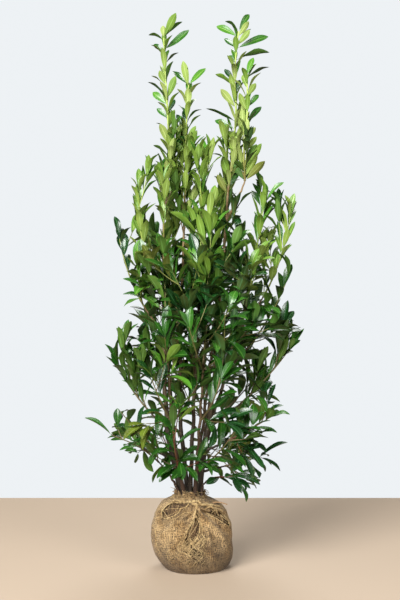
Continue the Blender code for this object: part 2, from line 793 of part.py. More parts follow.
def grow_mass(crown, mass):
    """One mass of foliage: a stem, side twigs by the seeded rule, and leaves fused on, as one solid."""
    rng = random.Random(mass.seed)
    habit, droop = mass.habit, mass.droop
    main = mass.path
    length = sum((b - a).length for a, b in zip(main, main[1:]))
    radii = [TWIG_BASE + (TWIG_TIP - TWIG_BASE) * i / (TWIG_RINGS - 1) for i in range(TWIG_RINGS)]
    trunk = add_object(mass.name, tube(main, radii, 3, mass.foot_normal), habit.colour)
    solids, own = [], []
    others = crown.others(mass.name)
    last_way = ((main[-1] - main[-2]).normalized() + Vector(mass.lean)).normalized()
    leaves = grow_leaves(crown, rng, main, others, own, habit, droop, FIRST_LEAF, last_way)
    twig_count = max(1, round((length - BARE_FOOT) / habit.twig_spacing))
    turn = rng.uniform(0, 2 * math.pi)
    for i in range(twig_count):
        share = FIRST_TWIG + (LAST_TWIG - FIRST_TWIG) * i / max(twig_count - 1, 1)
        root, on = resample(main, share, (share + 1) / 2, 2)
        turn += GOLDEN_ANGLE
        side = free_twig(others, rng, root, (on - root).normalized(), turn, habit, droop,
                         1 - SIDE_SHORTENS * share)
        if side:
            solids.append(add_object("twig", tube(side, SIDE_RADII, 3), smooth=False))
            end_way = (side[-1] - side[-2]).normalized()
            leaves += grow_leaves(crown, rng, side, others, own, habit, droop, SIDE_FIRST_LEAF, end_way)
    crown.grown += len(leaves)
    solids += [add_object("leaf", leaf_solid(corners), smooth=False) for corners in leaves]
    fused = fuse(trunk, solids)
    fused.to_mesh(trunk.data)
    fused.free()
    trunk.data.shade_smooth()
    trunk.data.set_sharp_from_angle(angle=SHARP_LEAF)
    crown.masses.append(tree_of(trunk))


def free_twig(others, rng, root, axis, turn, habit, droop, size):
    """The path of a side twig that keeps inside the crown and clear of the rest, or None."""
    for attempt in range(ATTEMPTS):
        open_angle = math.radians(habit.twig_open + rng.uniform(-SIDE_SWAYS, SIDE_SWAYS))
        way, _ = leaf_way(axis, turn + attempt * SIDE_STEP, open_angle, droop / 2)
        reach = habit.twig_reach * rng.uniform(*SIDE_VARIES) * size * (1 if attempt < FULL_TRIES else SHORTER)
        end = root + way * reach + Vector((0, 0, reach * (SIDE_RISE - droop / 2)))
        if in_crown(end, -SIDE_INSET) and is_free(wide_tree([root, end]), others):
            return [root, end]
    return None


def fuse(trunk, solids):
    """Joins a mass into one solid, with fewer leaves where it will not close."""
    kept = [(item.name, item.data.copy()) for item in solids]
    for solver in ("EXACT", "MANIFOLD", "MANIFOLD", "MANIFOLD"):
        result = tidy_solid(run_boolean(trunk, solids, "UNION", solver))
        if is_closed(result):
            return result
        result.free()
        if solver == "MANIFOLD":
            kept = kept[:-1]
        solids = []
        for name, mesh in kept:
            again = bpy.data.objects.new(name, mesh.copy())
            bpy.context.scene.collection.objects.link(again)
            solids.append(again)
    return tidy_solid(run_boolean(trunk, solids, "UNION", "MANIFOLD"))


def mass_from_tip(plan, host, seed, lean=(0, 0, 0)):
    """A mass whose stem starts clear of the flat end of its limb."""
    along = (host.wood[-1] - host.wood[-2]).normalized()
    path = resample([host.wood[-1] + along * GAP] + host.leafy[1:], 0, 1, TWIG_RINGS)
    return Mass("foliage_" + plan.name, path, along, plan.habit, plan.droop, lean, seed)


def mass_off_stem(crown, stems, name, height, azimuth, habit, seed):
    """A mass straight off the side of a stem, towards the crown's outline near an azimuth."""
    able = [s for n, s in stems.items() if n not in LOW_STEMS and s.wood[-1].z > height + BARE_FOOT]
    droop = SPRAY_DROOP * max(0.0, 1 - (height - TIERS[0][0]) / (DROOP_TOP - TIERS[0][0]))
    for shift in AZIMUTH_STEPS:
        turn = math.radians(azimuth + shift)
        reach, centre = crown_reach(turn, height + SPRAY_RISE)
        aim = centre + Vector((math.cos(turn), math.sin(turn), 0)) * reach
        host = min(able, key=lambda s: (seat(s, height, aim)[0] - aim).length)
        spot, normal = seat(host, height, aim)
        bent = bent_path(spot, first_way(spot, normal, aim, SPRAY_PULLS), aim)
        path = resample(short_of_leaf(bent, habit), 0, 1, TWIG_RINGS)
        past_host = [path[0].lerp(path[1], HOST_SHARE), *path[1:]]
        if is_free(wide_tree(past_host), crown.limbs) and is_free(wide_tree(path), crown.mains.values()):
            return Mass(name, path, normal, habit, droop, (0, 0, 0), seed)
    return None


def plan_masses(crown, stems, boughs):
    """Every mass: from the tip of each stem and bough, then off the stems in tiers."""
    found = [mass_from_tip(stem, stems[stem.name], SEED + i, stem.lean) for i, stem in enumerate(STEMS)]
    found += [mass_from_tip(bough, boughs[bough.name], SEED + 100 + i) for i, bough in enumerate(BOUGHS)]
    for mass in found:
        crown.plan(mass)
    number = 0
    for height, azimuths, habit in TIERS:
        for azimuth in azimuths:
            number += 1
            name = f"foliage_spray_{number:02d}"
            mass = mass_off_stem(crown, stems, name, height, azimuth, habit, SEED + 200 + number)
            if mass:
                crown.plan(mass)
                found.append(mass)
    return found


def main():
    """Builds the whole plant."""
    clear_scene()
    ball = [soil_ball(), burlap_wrap()]
    stems = make_stems()
    boughs = make_boughs(stems)
    limbs = [item.made for item in (*stems.values(), *boughs.values())]
    crown = Crown([tree_of(item) for item in ball + limbs])
    for mass in plan_masses(crown, stems, boughs):
        grow_mass(crown, mass)
    print(f"{crown.grown} leaves of {crown.wanted}")


main()
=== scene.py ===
"""A cherry laurel on its burlap-wrapped root ball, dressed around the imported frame.

All is in metres with +Z up, -Y to the front and the origin on the ball's flat underside, as in the frame. The stems,
boughs and main twigs follow the source's rule, and finer twigs and leaves are grown on from them.
"""

import json
import logging
from dataclasses import dataclass, field
from enum import Enum
from math import cos, degrees, exp, hypot, pi, radians, sin, tan, tau
from random import Random
from typing import Iterable, Sequence

import bmesh
import bpy
import numpy as np
from bpy.types import Material, Node, NodeSocket, NodeTree, Object
from mathutils import Euler, Matrix, Vector, noise

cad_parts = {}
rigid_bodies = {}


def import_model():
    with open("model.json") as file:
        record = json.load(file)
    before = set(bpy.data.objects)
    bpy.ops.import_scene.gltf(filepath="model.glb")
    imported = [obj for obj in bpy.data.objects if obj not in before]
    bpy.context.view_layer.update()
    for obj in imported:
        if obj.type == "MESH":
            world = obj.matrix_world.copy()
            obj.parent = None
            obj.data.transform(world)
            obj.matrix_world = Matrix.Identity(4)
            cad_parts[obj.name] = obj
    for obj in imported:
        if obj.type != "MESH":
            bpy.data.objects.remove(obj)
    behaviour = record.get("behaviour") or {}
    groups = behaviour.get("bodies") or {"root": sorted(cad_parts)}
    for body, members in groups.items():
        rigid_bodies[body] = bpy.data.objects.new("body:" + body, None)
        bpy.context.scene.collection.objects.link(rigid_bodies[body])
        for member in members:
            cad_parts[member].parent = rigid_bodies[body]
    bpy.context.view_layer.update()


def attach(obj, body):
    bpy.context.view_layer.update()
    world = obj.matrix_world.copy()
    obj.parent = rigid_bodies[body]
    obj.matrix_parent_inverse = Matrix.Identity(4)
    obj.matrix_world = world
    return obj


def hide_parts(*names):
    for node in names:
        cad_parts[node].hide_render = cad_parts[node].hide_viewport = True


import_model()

LOG = logging.getLogger("laurel")
SEED = 41
GOLDEN_ANGLE = radians(137.5)
BODY = "root"
Point = tuple[float, float, float]


def to_linear(code: str) -> tuple[float, float, float, float]:
    """Turns an sRGB hex colour into linear red, green, blue and alpha.

    Args:
        code: Six hex digits.

    Returns:
        The linear colour with full alpha.
    """
    parts = [int(code[i:i + 2], 16) / 255 for i in (0, 2, 4)]
    return (*(c / 12.92 if c <= 0.04045 else ((c + 0.055) / 1.055) ** 2.4 for c in parts), 1.0)


def set_inputs(node: Node, inputs: dict) -> None:
    """Sets or links a node's inputs.

    Args:
        node: The node.
        inputs: For each input's name or number a value, a hex colour, or the socket or node to link from.
    """
    for key, value in inputs.items():
        if isinstance(value, Node):
            value = value.outputs[0]
        if isinstance(value, NodeSocket):
            node.id_data.links.new(value, node.inputs[key])
        else:
            is_hex = isinstance(value, str) and node.inputs[key].type == "RGBA"
            node.inputs[key].default_value = to_linear(value) if is_hex else value


def add_node(tree: NodeTree, kind: str, inputs: dict | None = None, **settings) -> Node:
    """Adds one node to a tree, with its settings and its links.

    Args:
        tree: The material's or modifier's tree.
        kind: The node's type, without its first part where that is ShaderNode.
        inputs: What each input gets, as set_inputs takes it.
        settings: Values of the node's own properties.

    Returns:
        The node.
    """
    node = tree.nodes.new(kind if "Node" in kind else "ShaderNode" + kind)
    for name, value in settings.items():
        setattr(node, name, value)
    set_inputs(node, inputs or {})
    return node


# Finishes


class Finish:
    """A finish with a Principled shader, made once and then shared."""

    name: str

    def material(self) -> Material:
        """Returns the finish's material, and builds it the first time."""
        made = bpy.data.materials.get(self.name)
        if made is None:
            made = bpy.data.materials.new(self.name)
            made.use_nodes = True
            tree = made.node_tree
            set_inputs(tree.nodes["Principled BSDF"], self.dress(tree, add_node(tree, "TexCoord").outputs))
        return made

    def dress(self, tree: NodeTree, place: dict) -> dict:
        """Adds the finish's own nodes.

        Args:
            tree: The material's tree.
            place: Its texture coordinates.

        Returns:
            What the shader's inputs get.
        """
        raise NotImplementedError

    def layered(self, tree: NodeTree, colour: str, layers: Iterable[tuple]) -> NodeSocket:
        """Lays colours over one another, each where its pattern is strong.

        Args:
            tree: The material's tree.
            colour: The colour underneath.
            layers: For each layer its pattern, two values of the pattern, the layer's shares there, and its colour.

        Returns:
            The last mixture's socket.
        """
        for pattern, low, high, first, last, over in layers:
            share = add_node(tree, "MapRange", {0: pattern, 1: low, 2: high, 3: first, 4: last},
                             interpolation_type="SMOOTHSTEP")
            colour = add_node(tree, "Mix", {0: share, 6: colour, 7: over}, data_type="RGBA").outputs[2]
        return colour


@dataclass(frozen=True)
class LeafSkin(Finish):
    """Laurel leaf: a thick waxy blade. The eye sees a broad soft gloss, a pale midrib and faint side veins."""

    name: str
    body: str
    patch: str
    rib: str
    roughness: float
    patch_size: float = 0.055  # metres between lighter patches
    vein_pairs: float = 9.0
    vein_slope: float = 5.0
    vein_from: float = 0.72  # of a wave's height, above which a vein is seen
    rib_width: float = 0.03  # half of it, as a share of the blade's width
    rib_strength: float = 0.6
    vein_strength: float = 0.12
    relief: float = 0.0003
    wax: float = 0.0  # share of the clear wax coat
    wax_roughness: float = 0.24

    def dress(self, tree: NodeTree, place: dict) -> dict:
        """Draws midrib and veins on the blade's own UV map, and patches in object space.

        Args:
            tree: The material's tree.
            place: Its texture coordinates.

        Returns:
            What the shader's inputs get.
        """
        across, along, _ = add_node(tree, "SeparateXYZ", {0: place["UV"]}).outputs
        off = add_node(tree, "Math", {0: across, 1: 0.5}, operation="SUBTRACT")
        off = add_node(tree, "Math", {0: off}, operation="ABSOLUTE")
        lift = add_node(tree, "Math", {0: off, 1: -self.vein_slope * tau}, operation="MULTIPLY")
        phase = add_node(tree, "Math", {0: along, 1: self.vein_pairs * tau, 2: lift}, operation="MULTIPLY_ADD")
        wave = add_node(tree, "Math", {0: phase}, operation="SINE")
        broad = add_node(tree, "TexNoise", {"Vector": place["Object"], "Scale": 1 / self.patch_size, "Detail": 2.0})
        vein, rib, gloss = (
            add_node(tree, "MapRange", {0: value, 1: low, 2: high, 3: first, 4: last},
                     interpolation_type="SMOOTHSTEP")
            for value, low, high, first, last in (
                (wave, self.vein_from, 1, 0, 1), (off, self.rib_width, self.rib_width * 2, 1, 0),
                (broad, 0.3, 0.7, self.roughness - 0.05, self.roughness + 0.07)))
        colour = self.layered(tree, self.body, (
            (broad, 0.36, 0.64, 0, 1, self.patch), (wave, self.vein_from, 1, 0, self.vein_strength, self.rib),
            (off, self.rib_width, self.rib_width * 2, self.rib_strength, 0, self.rib)))
        height = add_node(tree, "Math", {0: vein, 1: rib}, operation="MAXIMUM")
        bump = add_node(tree, "Bump", {"Strength": 0.5, "Distance": self.relief, "Height": height}, invert=True)
        return {"Base Color": colour, "Roughness": gloss, "Coat Weight": self.wax,
                "Coat Roughness": self.wax_roughness, "Normal": bump}


@dataclass(frozen=True)
class Bark(Finish):
    """Laurel bark: smooth, with fine lengthwise cracks and pale dashes across. It looks dull with a soft sheen."""

    name: str
    low_colour: str
    high_colour: str
    crack: str
    low: float = 0.3  # heights in metres between which the colour goes over
    high: float = 1.4
    roughness: float = 0.62
    crack_size: float = 0.01  # drawn four times as coarse as it is, to show
    crack_squeeze: tuple = (1, 1, 0.22)
    dash: str = "B9AE8C"
    dash_size: float = 0.006
    dash_squeeze: tuple = (0.5, 0.5, 1.6)

    def dress(self, tree: NodeTree, place: dict) -> dict:
        """Draws cracks along and dashes across the wood in object space.

        Args:
            tree: The material's tree.
            place: Its texture coordinates.

        Returns:
            What the shader's inputs get.
        """
        height = add_node(tree, "SeparateXYZ", {0: place["Object"]}).outputs[2]
        along, flat = (add_node(tree, "Mapping", {0: place["Object"], "Scale": squeeze})
                       for squeeze in (self.crack_squeeze, self.dash_squeeze))
        cracks = add_node(tree, "TexNoise", {0: along, "Scale": 1 / self.crack_size, "Detail": 4.0,
                                             "Roughness": 0.65})
        dashes = add_node(tree, "TexNoise", {0: flat, "Scale": 1 / self.dash_size, "Detail": 1.0})
        colour = self.layered(tree, self.low_colour, (
            (height, self.low, self.high, 0, 1, self.high_colour), (cracks, 0.52, 0.7, 0, 0.7, self.crack),
            (dashes, 0.66, 0.74, 0, 0.45, self.dash)))
        gloss = add_node(tree, "MapRange", {0: cracks, 1: 0.3, 2: 0.7, 3: self.roughness - 0.1,
                                            4: self.roughness + 0.15}, interpolation_type="SMOOTHSTEP")
        bump = add_node(tree, "Bump", {"Strength": 0.6, "Distance": 0.001, "Height": cracks})
        return {"Base Color": colour, "Roughness": gloss, "Normal": bump}


@dataclass(frozen=True)
class Burlap(Finish):
    """Jute burlap: coarse plain weave of hairy tan yarn. The eye sees yarns of uneven width and dark holes."""

    name: str
    yarn: str
    pale_yarn: str
    shade: str
    pitch: float = 0.0062  # real yarns are 2 mm apart, drawn three times as coarse to show
    slub: float = 0.006
    slub_shift: float = 6.0  # radians by which a slub moves its neighbours
    drift: float = 0.05  # metres by which the weave is pulled out of line
    bottom_shade: tuple = (0.15, 0.55)  # painted shade: how high it is darkened from below, and by what share at the bottom
    on_map: bool = True

    def dress(self, tree: NodeTree, place: dict) -> dict:
        """Draws warp and weft on the cloth's own map in metres, or only mottling on loose yarn.

        Args:
            tree: The material's tree.
            place: Its texture coordinates.

        Returns:
            What the shader's inputs get.
        """
        where, here = place["UV" if self.on_map else "Object"], place["Object"]
        drift, blotch, hairs, dirt = (
            add_node(tree, "TexNoise", {0: at, "Scale": waves, "Detail": detail, "Roughness": rough})
            for at, waves, detail, rough in (
                (where, 7.0, 1.0, 0.5), (here, 16.0, 4.0, 0.6), (here, 170.0, 3.0, 0.7), (here, 9.0, 5.0, 0.7)))
        where = add_node(tree, "VectorMath", {0: drift.outputs[1], 1: (self.drift,) * 3, 2: where},
                         operation="MULTIPLY_ADD")
        sides = add_node(tree, "SeparateXYZ", {0: where}).outputs
        waves, widths = [], []
        for axis, stretch in enumerate(((1, 0.12, 1), (0.12, 1, 1))):
            placed = add_node(tree, "Mapping", {0: where, "Scale": stretch})
            widths.append(add_node(tree, "TexNoise", {0: placed, "Scale": 1 / self.slub, "Detail": 2.0}))
            shift = add_node(tree, "Math", {0: widths[-1], 1: self.slub_shift}, operation="MULTIPLY")
            phase = add_node(tree, "Math", {0: sides[axis], 1: tau / self.pitch, 2: shift}, operation="MULTIPLY_ADD")
            waves.append(add_node(tree, "Math", {0: phase}, operation="SINE"))
        weave, slubs = (add_node(tree, "Math", {0: a, 1: b}, operation="MAXIMUM") for a, b in (waves, widths))
        height = add_node(tree, "MapRange", {0: weave, 1: -0.6, 2: 0.9}, interpolation_type="SMOOTHSTEP")
        # Painted shade in the gaps between the yarns, partly the dark soil that shows through them, on the woven
        # cloth only
        gap_shade_and_soil = 0.85 if self.on_map else 0.0
        soiled = 0.66 if self.on_map else 0.0
        colour = self.layered(tree, self.yarn, (
            (blotch, 0.36, 0.66, 0, 1, self.pale_yarn), (slubs, 0.52, 0.72, 0, 0.5, self.pale_yarn),
            (hairs, 0.51, 0.64, 0, 0.85, self.shade), (hairs, 0.47, 0.35, 0, 0.75, self.pale_yarn),
            (height, 0.0, 0.7, gap_shade_and_soil, 0, self.shade), (dirt, 0.46, 0.68, 0, soiled, self.shade),
            # Painted shade: the cloth and yarn are darkened towards the bottom of the ball by height alone
            (add_node(tree, "SeparateXYZ", {0: here}).outputs[2], 0, *self.bottom_shade, 0, self.shade)))
        bump = add_node(tree, "Bump", {"Strength": 0.8, "Distance": 0.0014, "Height": height})
        rough = add_node(tree, "Bump", {"Strength": 0.5, "Distance": 0.001, "Height": hairs, "Normal": bump})
        return {"Base Color": colour, "Roughness": 0.92, "Sheen Weight": 0.05, "Sheen Roughness": 0.5,
                "Normal": rough}


@dataclass(frozen=True)
class Soil(Finish):
    """Moist loam bound by roots: dark, matt and crumbly, with pale grit and root hairs."""

    name: str
    dark: str
    pale: str
    crumb: float = 0.007

    def dress(self, tree: NodeTree, place: dict) -> dict:
        """Draws crumbs and grit in object space.

        Args:
            tree: The material's tree.
            place: Its texture coordinates.

        Returns:
            What the shader's inputs get.
        """
        crumbs = add_node(tree, "TexNoise", {0: place["Object"], "Scale": 1 / self.crumb, "Detail": 5.0,
                                             "Roughness": 0.7})
        colour = self.layered(tree, self.dark, ((crumbs, 0.38, 0.72, 0, 1, self.pale),))
        bump = add_node(tree, "Bump", {"Strength": 1.0, "Distance": 0.003, "Height": crumbs})
        return {"Base Color": colour, "Roughness": 0.95, "Normal": bump}


@dataclass(frozen=True)
class Paint(Finish):
    """Matt emulsion on board: even and plain, for the floor alone."""

    name: str
    colour: str

    def dress(self, tree: NodeTree, place: dict) -> dict:
        """Gives the board its faint mottling.

        Args:
            tree: The material's tree.
            place: Its texture coordinates.

        Returns:
            What the shader's inputs get.
        """
        cloud = add_node(tree, "TexNoise", {0: place["Object"], "Scale": 2.0})
        lighter = tuple(min(1.0, c * 1.04) for c in to_linear(self.colour))
        colour = add_node(tree, "Mix", {0: cloud, 6: self.colour, 7: lighter}, data_type="RGBA").outputs[2]
        return {"Base Color": colour, "Roughness": 0.7}


class Tone(Enum):
    """The leaf colours, dealt out by spray: upper side, its patches, midrib, underside, its patches and gloss."""

    LIME = ("7F9B42", "708C38", "BCCC80", "8FA152", "829446", 0.42)
    SPRING = ("64882F", "547A28", "9EB868", "7C933A", "6D8430", 0.37)
    FRESH = ("487C22", "3A6A1C", "88AC52", "6A882E", "5C7C22", 0.31)
    MID = ("2E5F19", "245113", "689046", "4D7022", "43621D", 0.28)
    DARK = ("1E4B0F", "153B0A", "4E7A32", "3C5D1E", "335015", 0.26)
    DEEP = ("143B13", "0D300D", "447044", "365322", "3E4C1A", 0.25)
    OLIVE = ("586A1E", "4A5616", "8A9850", "6A742A", "5E6424", 0.26)

    def upper(self) -> LeafSkin:
        """The finish of the side that faces the sky."""
        body, patch, rib, _, _, gloss = self.value
        return LeafSkin(f"leaf_{self.name.lower()}_upper", body, patch, rib, gloss, wax=0.14)

    def under(self) -> LeafSkin:
        """The duller and paler finish of the other side."""
        _, _, rib, body, patch, gloss = self.value
        return LeafSkin(f"leaf_{self.name.lower()}_under", body, patch, rib, gloss + 0.22, rib_width=0.036)


LIME, SPRING, FRESH, MID, DARK, DEEP, OLIVE = Tone
OLD_BARK = Bark("bark_old", "30261A", "7C6440", "201910", 0.35, 1.25)
THIN_BARK = Bark("bark_thin", "3C281A", "75603A", "261810", 0.3, 1.1)
YOUNG_BARK = Bark("bark_young", "5E5230", "8A9A44", "3E3420", 0.6, 1.5, 0.5)
GREEN_BARK = Bark("bark_green", "665230", "A8BA58", "6A6C34", 1.34, 1.6, 0.45)
LIME_BARK = Bark("bark_lime", "76823E", "9CAE50", "606A2E", 0.9, 1.3, 0.45)
RED_BARK = Bark("bark_red", "6A3C28", "765034", "3C2218", 0.3, 0.9, 0.5)
CLOTH = Burlap("burlap_cloth", "806236", "B2966A", "28190B")
YARN = Burlap("burlap_yarn", "8E744A", "B49C6E", "503C22", on_map=False)
EARTH = Soil("soil_earth", "2A1B0B", "7C6240")
ROOT_SKIN = Bark("root_skin", "6E5236", "8A6B48", "3F2D1D", 0.0, 0.25, 0.7)
FLOOR_PAINT = Paint("floor_paint", "AF9D89")


# Paths


def curve_through(points: Sequence[Point], count: int, rises: bool = False) -> np.ndarray:
    """A smooth curve through all of its points.

    Args:
        points: The points, in order.
        count: How many points to give.
        rises: True where it leaves the first of them straight upwards, as the source's stems do.

    Returns:
        The curve's points, one a row.
    """
    known = np.array(points, float)
    span = known[1] - known[0]
    before = known[0] - ((0, 0, np.linalg.norm(span)) if rises else span)
    ends = np.vstack((before, known, 2 * known[-1] - known[-2]))
    rows = []
    for at in np.linspace(0, len(known) - 1, count):
        k = min(int(at), len(known) - 2)
        t = at - k
        a, b, c, d = ends[k:k + 4]
        rows.append(0.5 * (2 * b + (c - a) * t + (2 * a - 5 * b + 4 * c - d) * t * t
                           + (3 * b - a - 3 * c + d) * t ** 3))
    return np.array(rows)


def resample(path: np.ndarray, start: float, end: float, count: int) -> np.ndarray:
    """Evenly spaced points of a path between two shares of its length.

    Args:
        path: The path's points.
        start: Share of its length where the points start.
        end: Share where they end.
        count: How many points to give.

    Returns:
        The points, one a row.
    """
    lengths = np.concatenate(([0.0], np.cumsum(np.linalg.norm(np.diff(path, axis=0), axis=1))))
    wanted = lengths[-1] * np.linspace(start, end, count)
    return np.stack([np.interp(wanted, lengths, path[:, k]) for k in range(3)], axis=1)


def length_of(path: np.ndarray) -> float:
    """The length of a path."""
    return float(np.linalg.norm(np.diff(path, axis=0), axis=1).sum())


def nearest(path: np.ndarray, height: float) -> int:
    """The number of the path's point that is nearest to a height."""
    return int(np.argmin(np.abs(path[:, 2] - height)))


def bent_path(start: np.ndarray, way: np.ndarray, end: np.ndarray, bend: float = 0.45,
              count: int = 24) -> np.ndarray:
    """A curve that leaves its start in one direction and bends to its end.

    Args:
        start: Its first point.
        way: The direction in which it leaves.
        end: Its last point.
        bend: Share of the distance at which it bends.
        count: How many points to give.

    Returns:
        The points, one a row.
    """
    control = start + way / np.linalg.norm(way) * np.linalg.norm(end - start) * bend
    t = np.linspace(0, 1, count)[:, None]
    return start * (1 - t) ** 2 + control * 2 * t * (1 - t) + end * t * t


def unit(vector: np.ndarray) -> np.ndarray:
    """A vector cut to a length of one."""
    return vector / max(np.linalg.norm(vector), 1e-9)


def square_to(vector: np.ndarray, way: np.ndarray) -> np.ndarray:
    """The direction that is square to a way and as near as can be to a vector."""
    return unit(vector - way * vector.dot(way))


def clamp(value: float) -> float:
    """A value held between 0 and 1."""
    return min(1.0, max(0.0, value))


# Pieces


def new_object(name: str, data: bpy.types.ID) -> Object:
    """Puts an object into the scene.

    Args:
        name: Its name.
        data: Its mesh, light or camera.

    Returns:
        The object.
    """
    made = bpy.data.objects.new(name, data)
    bpy.context.scene.collection.objects.link(made)
    return made


def smooth_mesh(name: str, bm: bmesh.types.BMesh, finish: Finish | None = None) -> bpy.types.Mesh:
    """Turns a shape into a smoothly shaded mesh.

    Args:
        name: The mesh's name.
        bm: The shape. It is freed.
        finish: The mesh's finish, where it has one already.

    Returns:
        The mesh.
    """
    for face in bm.faces:
        face.smooth = True
    mesh = bpy.data.meshes.new(name)
    bm.to_mesh(mesh)
    bm.free()
    if finish:
        mesh.materials.append(finish.material())
    return mesh


def settle(piece: Object, nodes: Sequence[str]) -> None:
    """Lets a piece ride on the plant and the nodes that it stands for, and reports it.

    Args:
        piece: The finished piece.
        nodes: The nodes that it replaces.
    """
    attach(piece, BODY)
    if nodes:
        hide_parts(*nodes)
    piece.data.calc_loop_triangles()
    LOG.info("%s: %d triangles", piece.name, len(piece.data.loop_triangles))


@dataclass
class Wire:
    """A path with one radius or one for each point, before it is given its skin."""

    path: Sequence
    radii: np.ndarray | float


class Maker:
    """A Geometry Nodes tree that turns points or edges with values on them into pieces."""

    def __init__(self, name: str, inputs: dict[str, str]) -> None:
        """Starts the tree.

        Args:
            name: The tree's name.
            inputs: The kind of each named input.
        """
        self.tree = bpy.data.node_groups.new(name, "GeometryNodeTree")
        interface = self.tree.interface
        self.sockets = {label: interface.new_socket(label, in_out="INPUT", socket_type="NodeSocket" + kind).identifier
                        for label, kind in inputs.items()}
        interface.new_socket("Made", in_out="OUTPUT", socket_type="NodeSocketGeometry")
        self.given = self.add("NodeGroupInput").outputs

    def add(self, kind: str, inputs: dict | None = None, **settings) -> Node:
        """Adds a node to the tree, as add_node does."""
        return add_node(self.tree, kind, inputs, **settings)

    def run(self, name: str, points: list, edges: list, values: dict[str, tuple], settings: dict) -> Object:
        """Runs the tree, and keeps the result as a plain mesh.

        Args:
            name: The piece's name.
            points: The points that it starts from.
            edges: The edges between them.
            values: For each value that the points carry its kind and its numbers.
            settings: What the tree's inputs get.

        Returns:
            The piece, without modifiers.
        """
        mesh = bpy.data.meshes.new(name + "_start")
        mesh.from_pydata(points, edges, [])
        for label, (kind, numbers) in values.items():
            held = mesh.attributes.new(label, kind, "POINT")
            held.data.foreach_set("vector" if kind == "FLOAT_VECTOR" else "value", numbers)
        start = new_object(name + "_start", mesh)
        modifier = start.modifiers.new("make", "NODES")
        modifier.node_group = self.tree
        for label, value in settings.items():
            modifier[self.sockets[label]] = value
        made = bpy.data.meshes.new_from_object(start.evaluated_get(bpy.context.evaluated_depsgraph_get()))
        bpy.data.objects.remove(start, do_unlink=True)
        made.name = name
        for label in (*values, "upper"):
            if label in made.attributes:
                made.attributes.remove(made.attributes[label])
        return new_object(name, made)


class TubeMaker(Maker):
    """Draws a tube with a relief along each path of a mesh of edges."""

    def __init__(self) -> None:
        """Builds the tree once."""
        super().__init__("tubes_along_paths", {"Paths": "Geometry", "Sides": "Int", "Step": "Float",
                                               "Relief": "Float", "Relief size": "Float", "Skin": "Material"})
        given, add = self.given, self.add
        lines = add("GeometryNodeMeshToCurve", {0: given["Paths"]})
        even = add("GeometryNodeResampleCurve", {"Curve": lines, "Length": given["Step"]}, mode="LENGTH")
        radius = add("GeometryNodeInputNamedAttribute", {"Name": "radius_here"}, data_type="FLOAT")
        ring = add("GeometryNodeCurvePrimitiveCircle", {"Resolution": given["Sides"], "Radius": 1.0})
        tube = add("GeometryNodeCurveToMesh", {"Curve": even, "Profile Curve": ring, "Scale": radius,
                                               "Fill Caps": True})
        rough = add("TexNoise", {"Vector": add("GeometryNodeInputPosition"), "W": 4.1,
                                 "Scale": given["Relief size"], "Detail": 3.0}, noise_dimensions="4D")
        centred = add("Math", {0: rough, 1: 0.5}, operation="SUBTRACT")
        height = add("Math", {0: centred, 1: given["Relief"]}, operation="MULTIPLY")
        offset = add("VectorMath", {0: add("GeometryNodeInputNormal"), "Scale": height}, operation="SCALE")
        moved = add("GeometryNodeSetPosition", {0: tube, "Offset": offset})
        smooth = add("GeometryNodeSetShadeSmooth", {0: moved})
        real = add("GeometryNodeRealizeInstances", {0: smooth})
        dressed = add("GeometryNodeSetMaterial", {0: real, "Material": given["Skin"]})
        add("NodeGroupOutput", {0: dressed})

    def make(self, name: str, wires: Iterable[Wire], finish: Finish, sides: int, step: float, relief: float,
             relief_size: float) -> Object:
        """Draws tubes along wires as one plain mesh.

        Args:
            name: The piece's name.
            wires: The paths with their radii.
            finish: The piece's finish.
            sides: Corners round each tube.
            step: Metres between rings.
            relief: Height of the relief in metres.
            relief_size: How fine the relief is, in waves a metre.

        Returns:
            The piece.
        """
        points, edges, radii = [], [], []
        for wire in wires:
            first = len(points)
            points += [tuple(p) for p in wire.path]
            radii += np.broadcast_to(wire.radii, len(wire.path)).tolist()
            edges += [(i, i + 1) for i in range(first, len(points) - 1)]
        return self.run(name, points, edges, {"radius_here": ("FLOAT", radii)},
                        {"Sides": sides, "Step": step, "Relief": relief, "Relief size": relief_size,
                         "Skin": finish.material()})


# Root ball


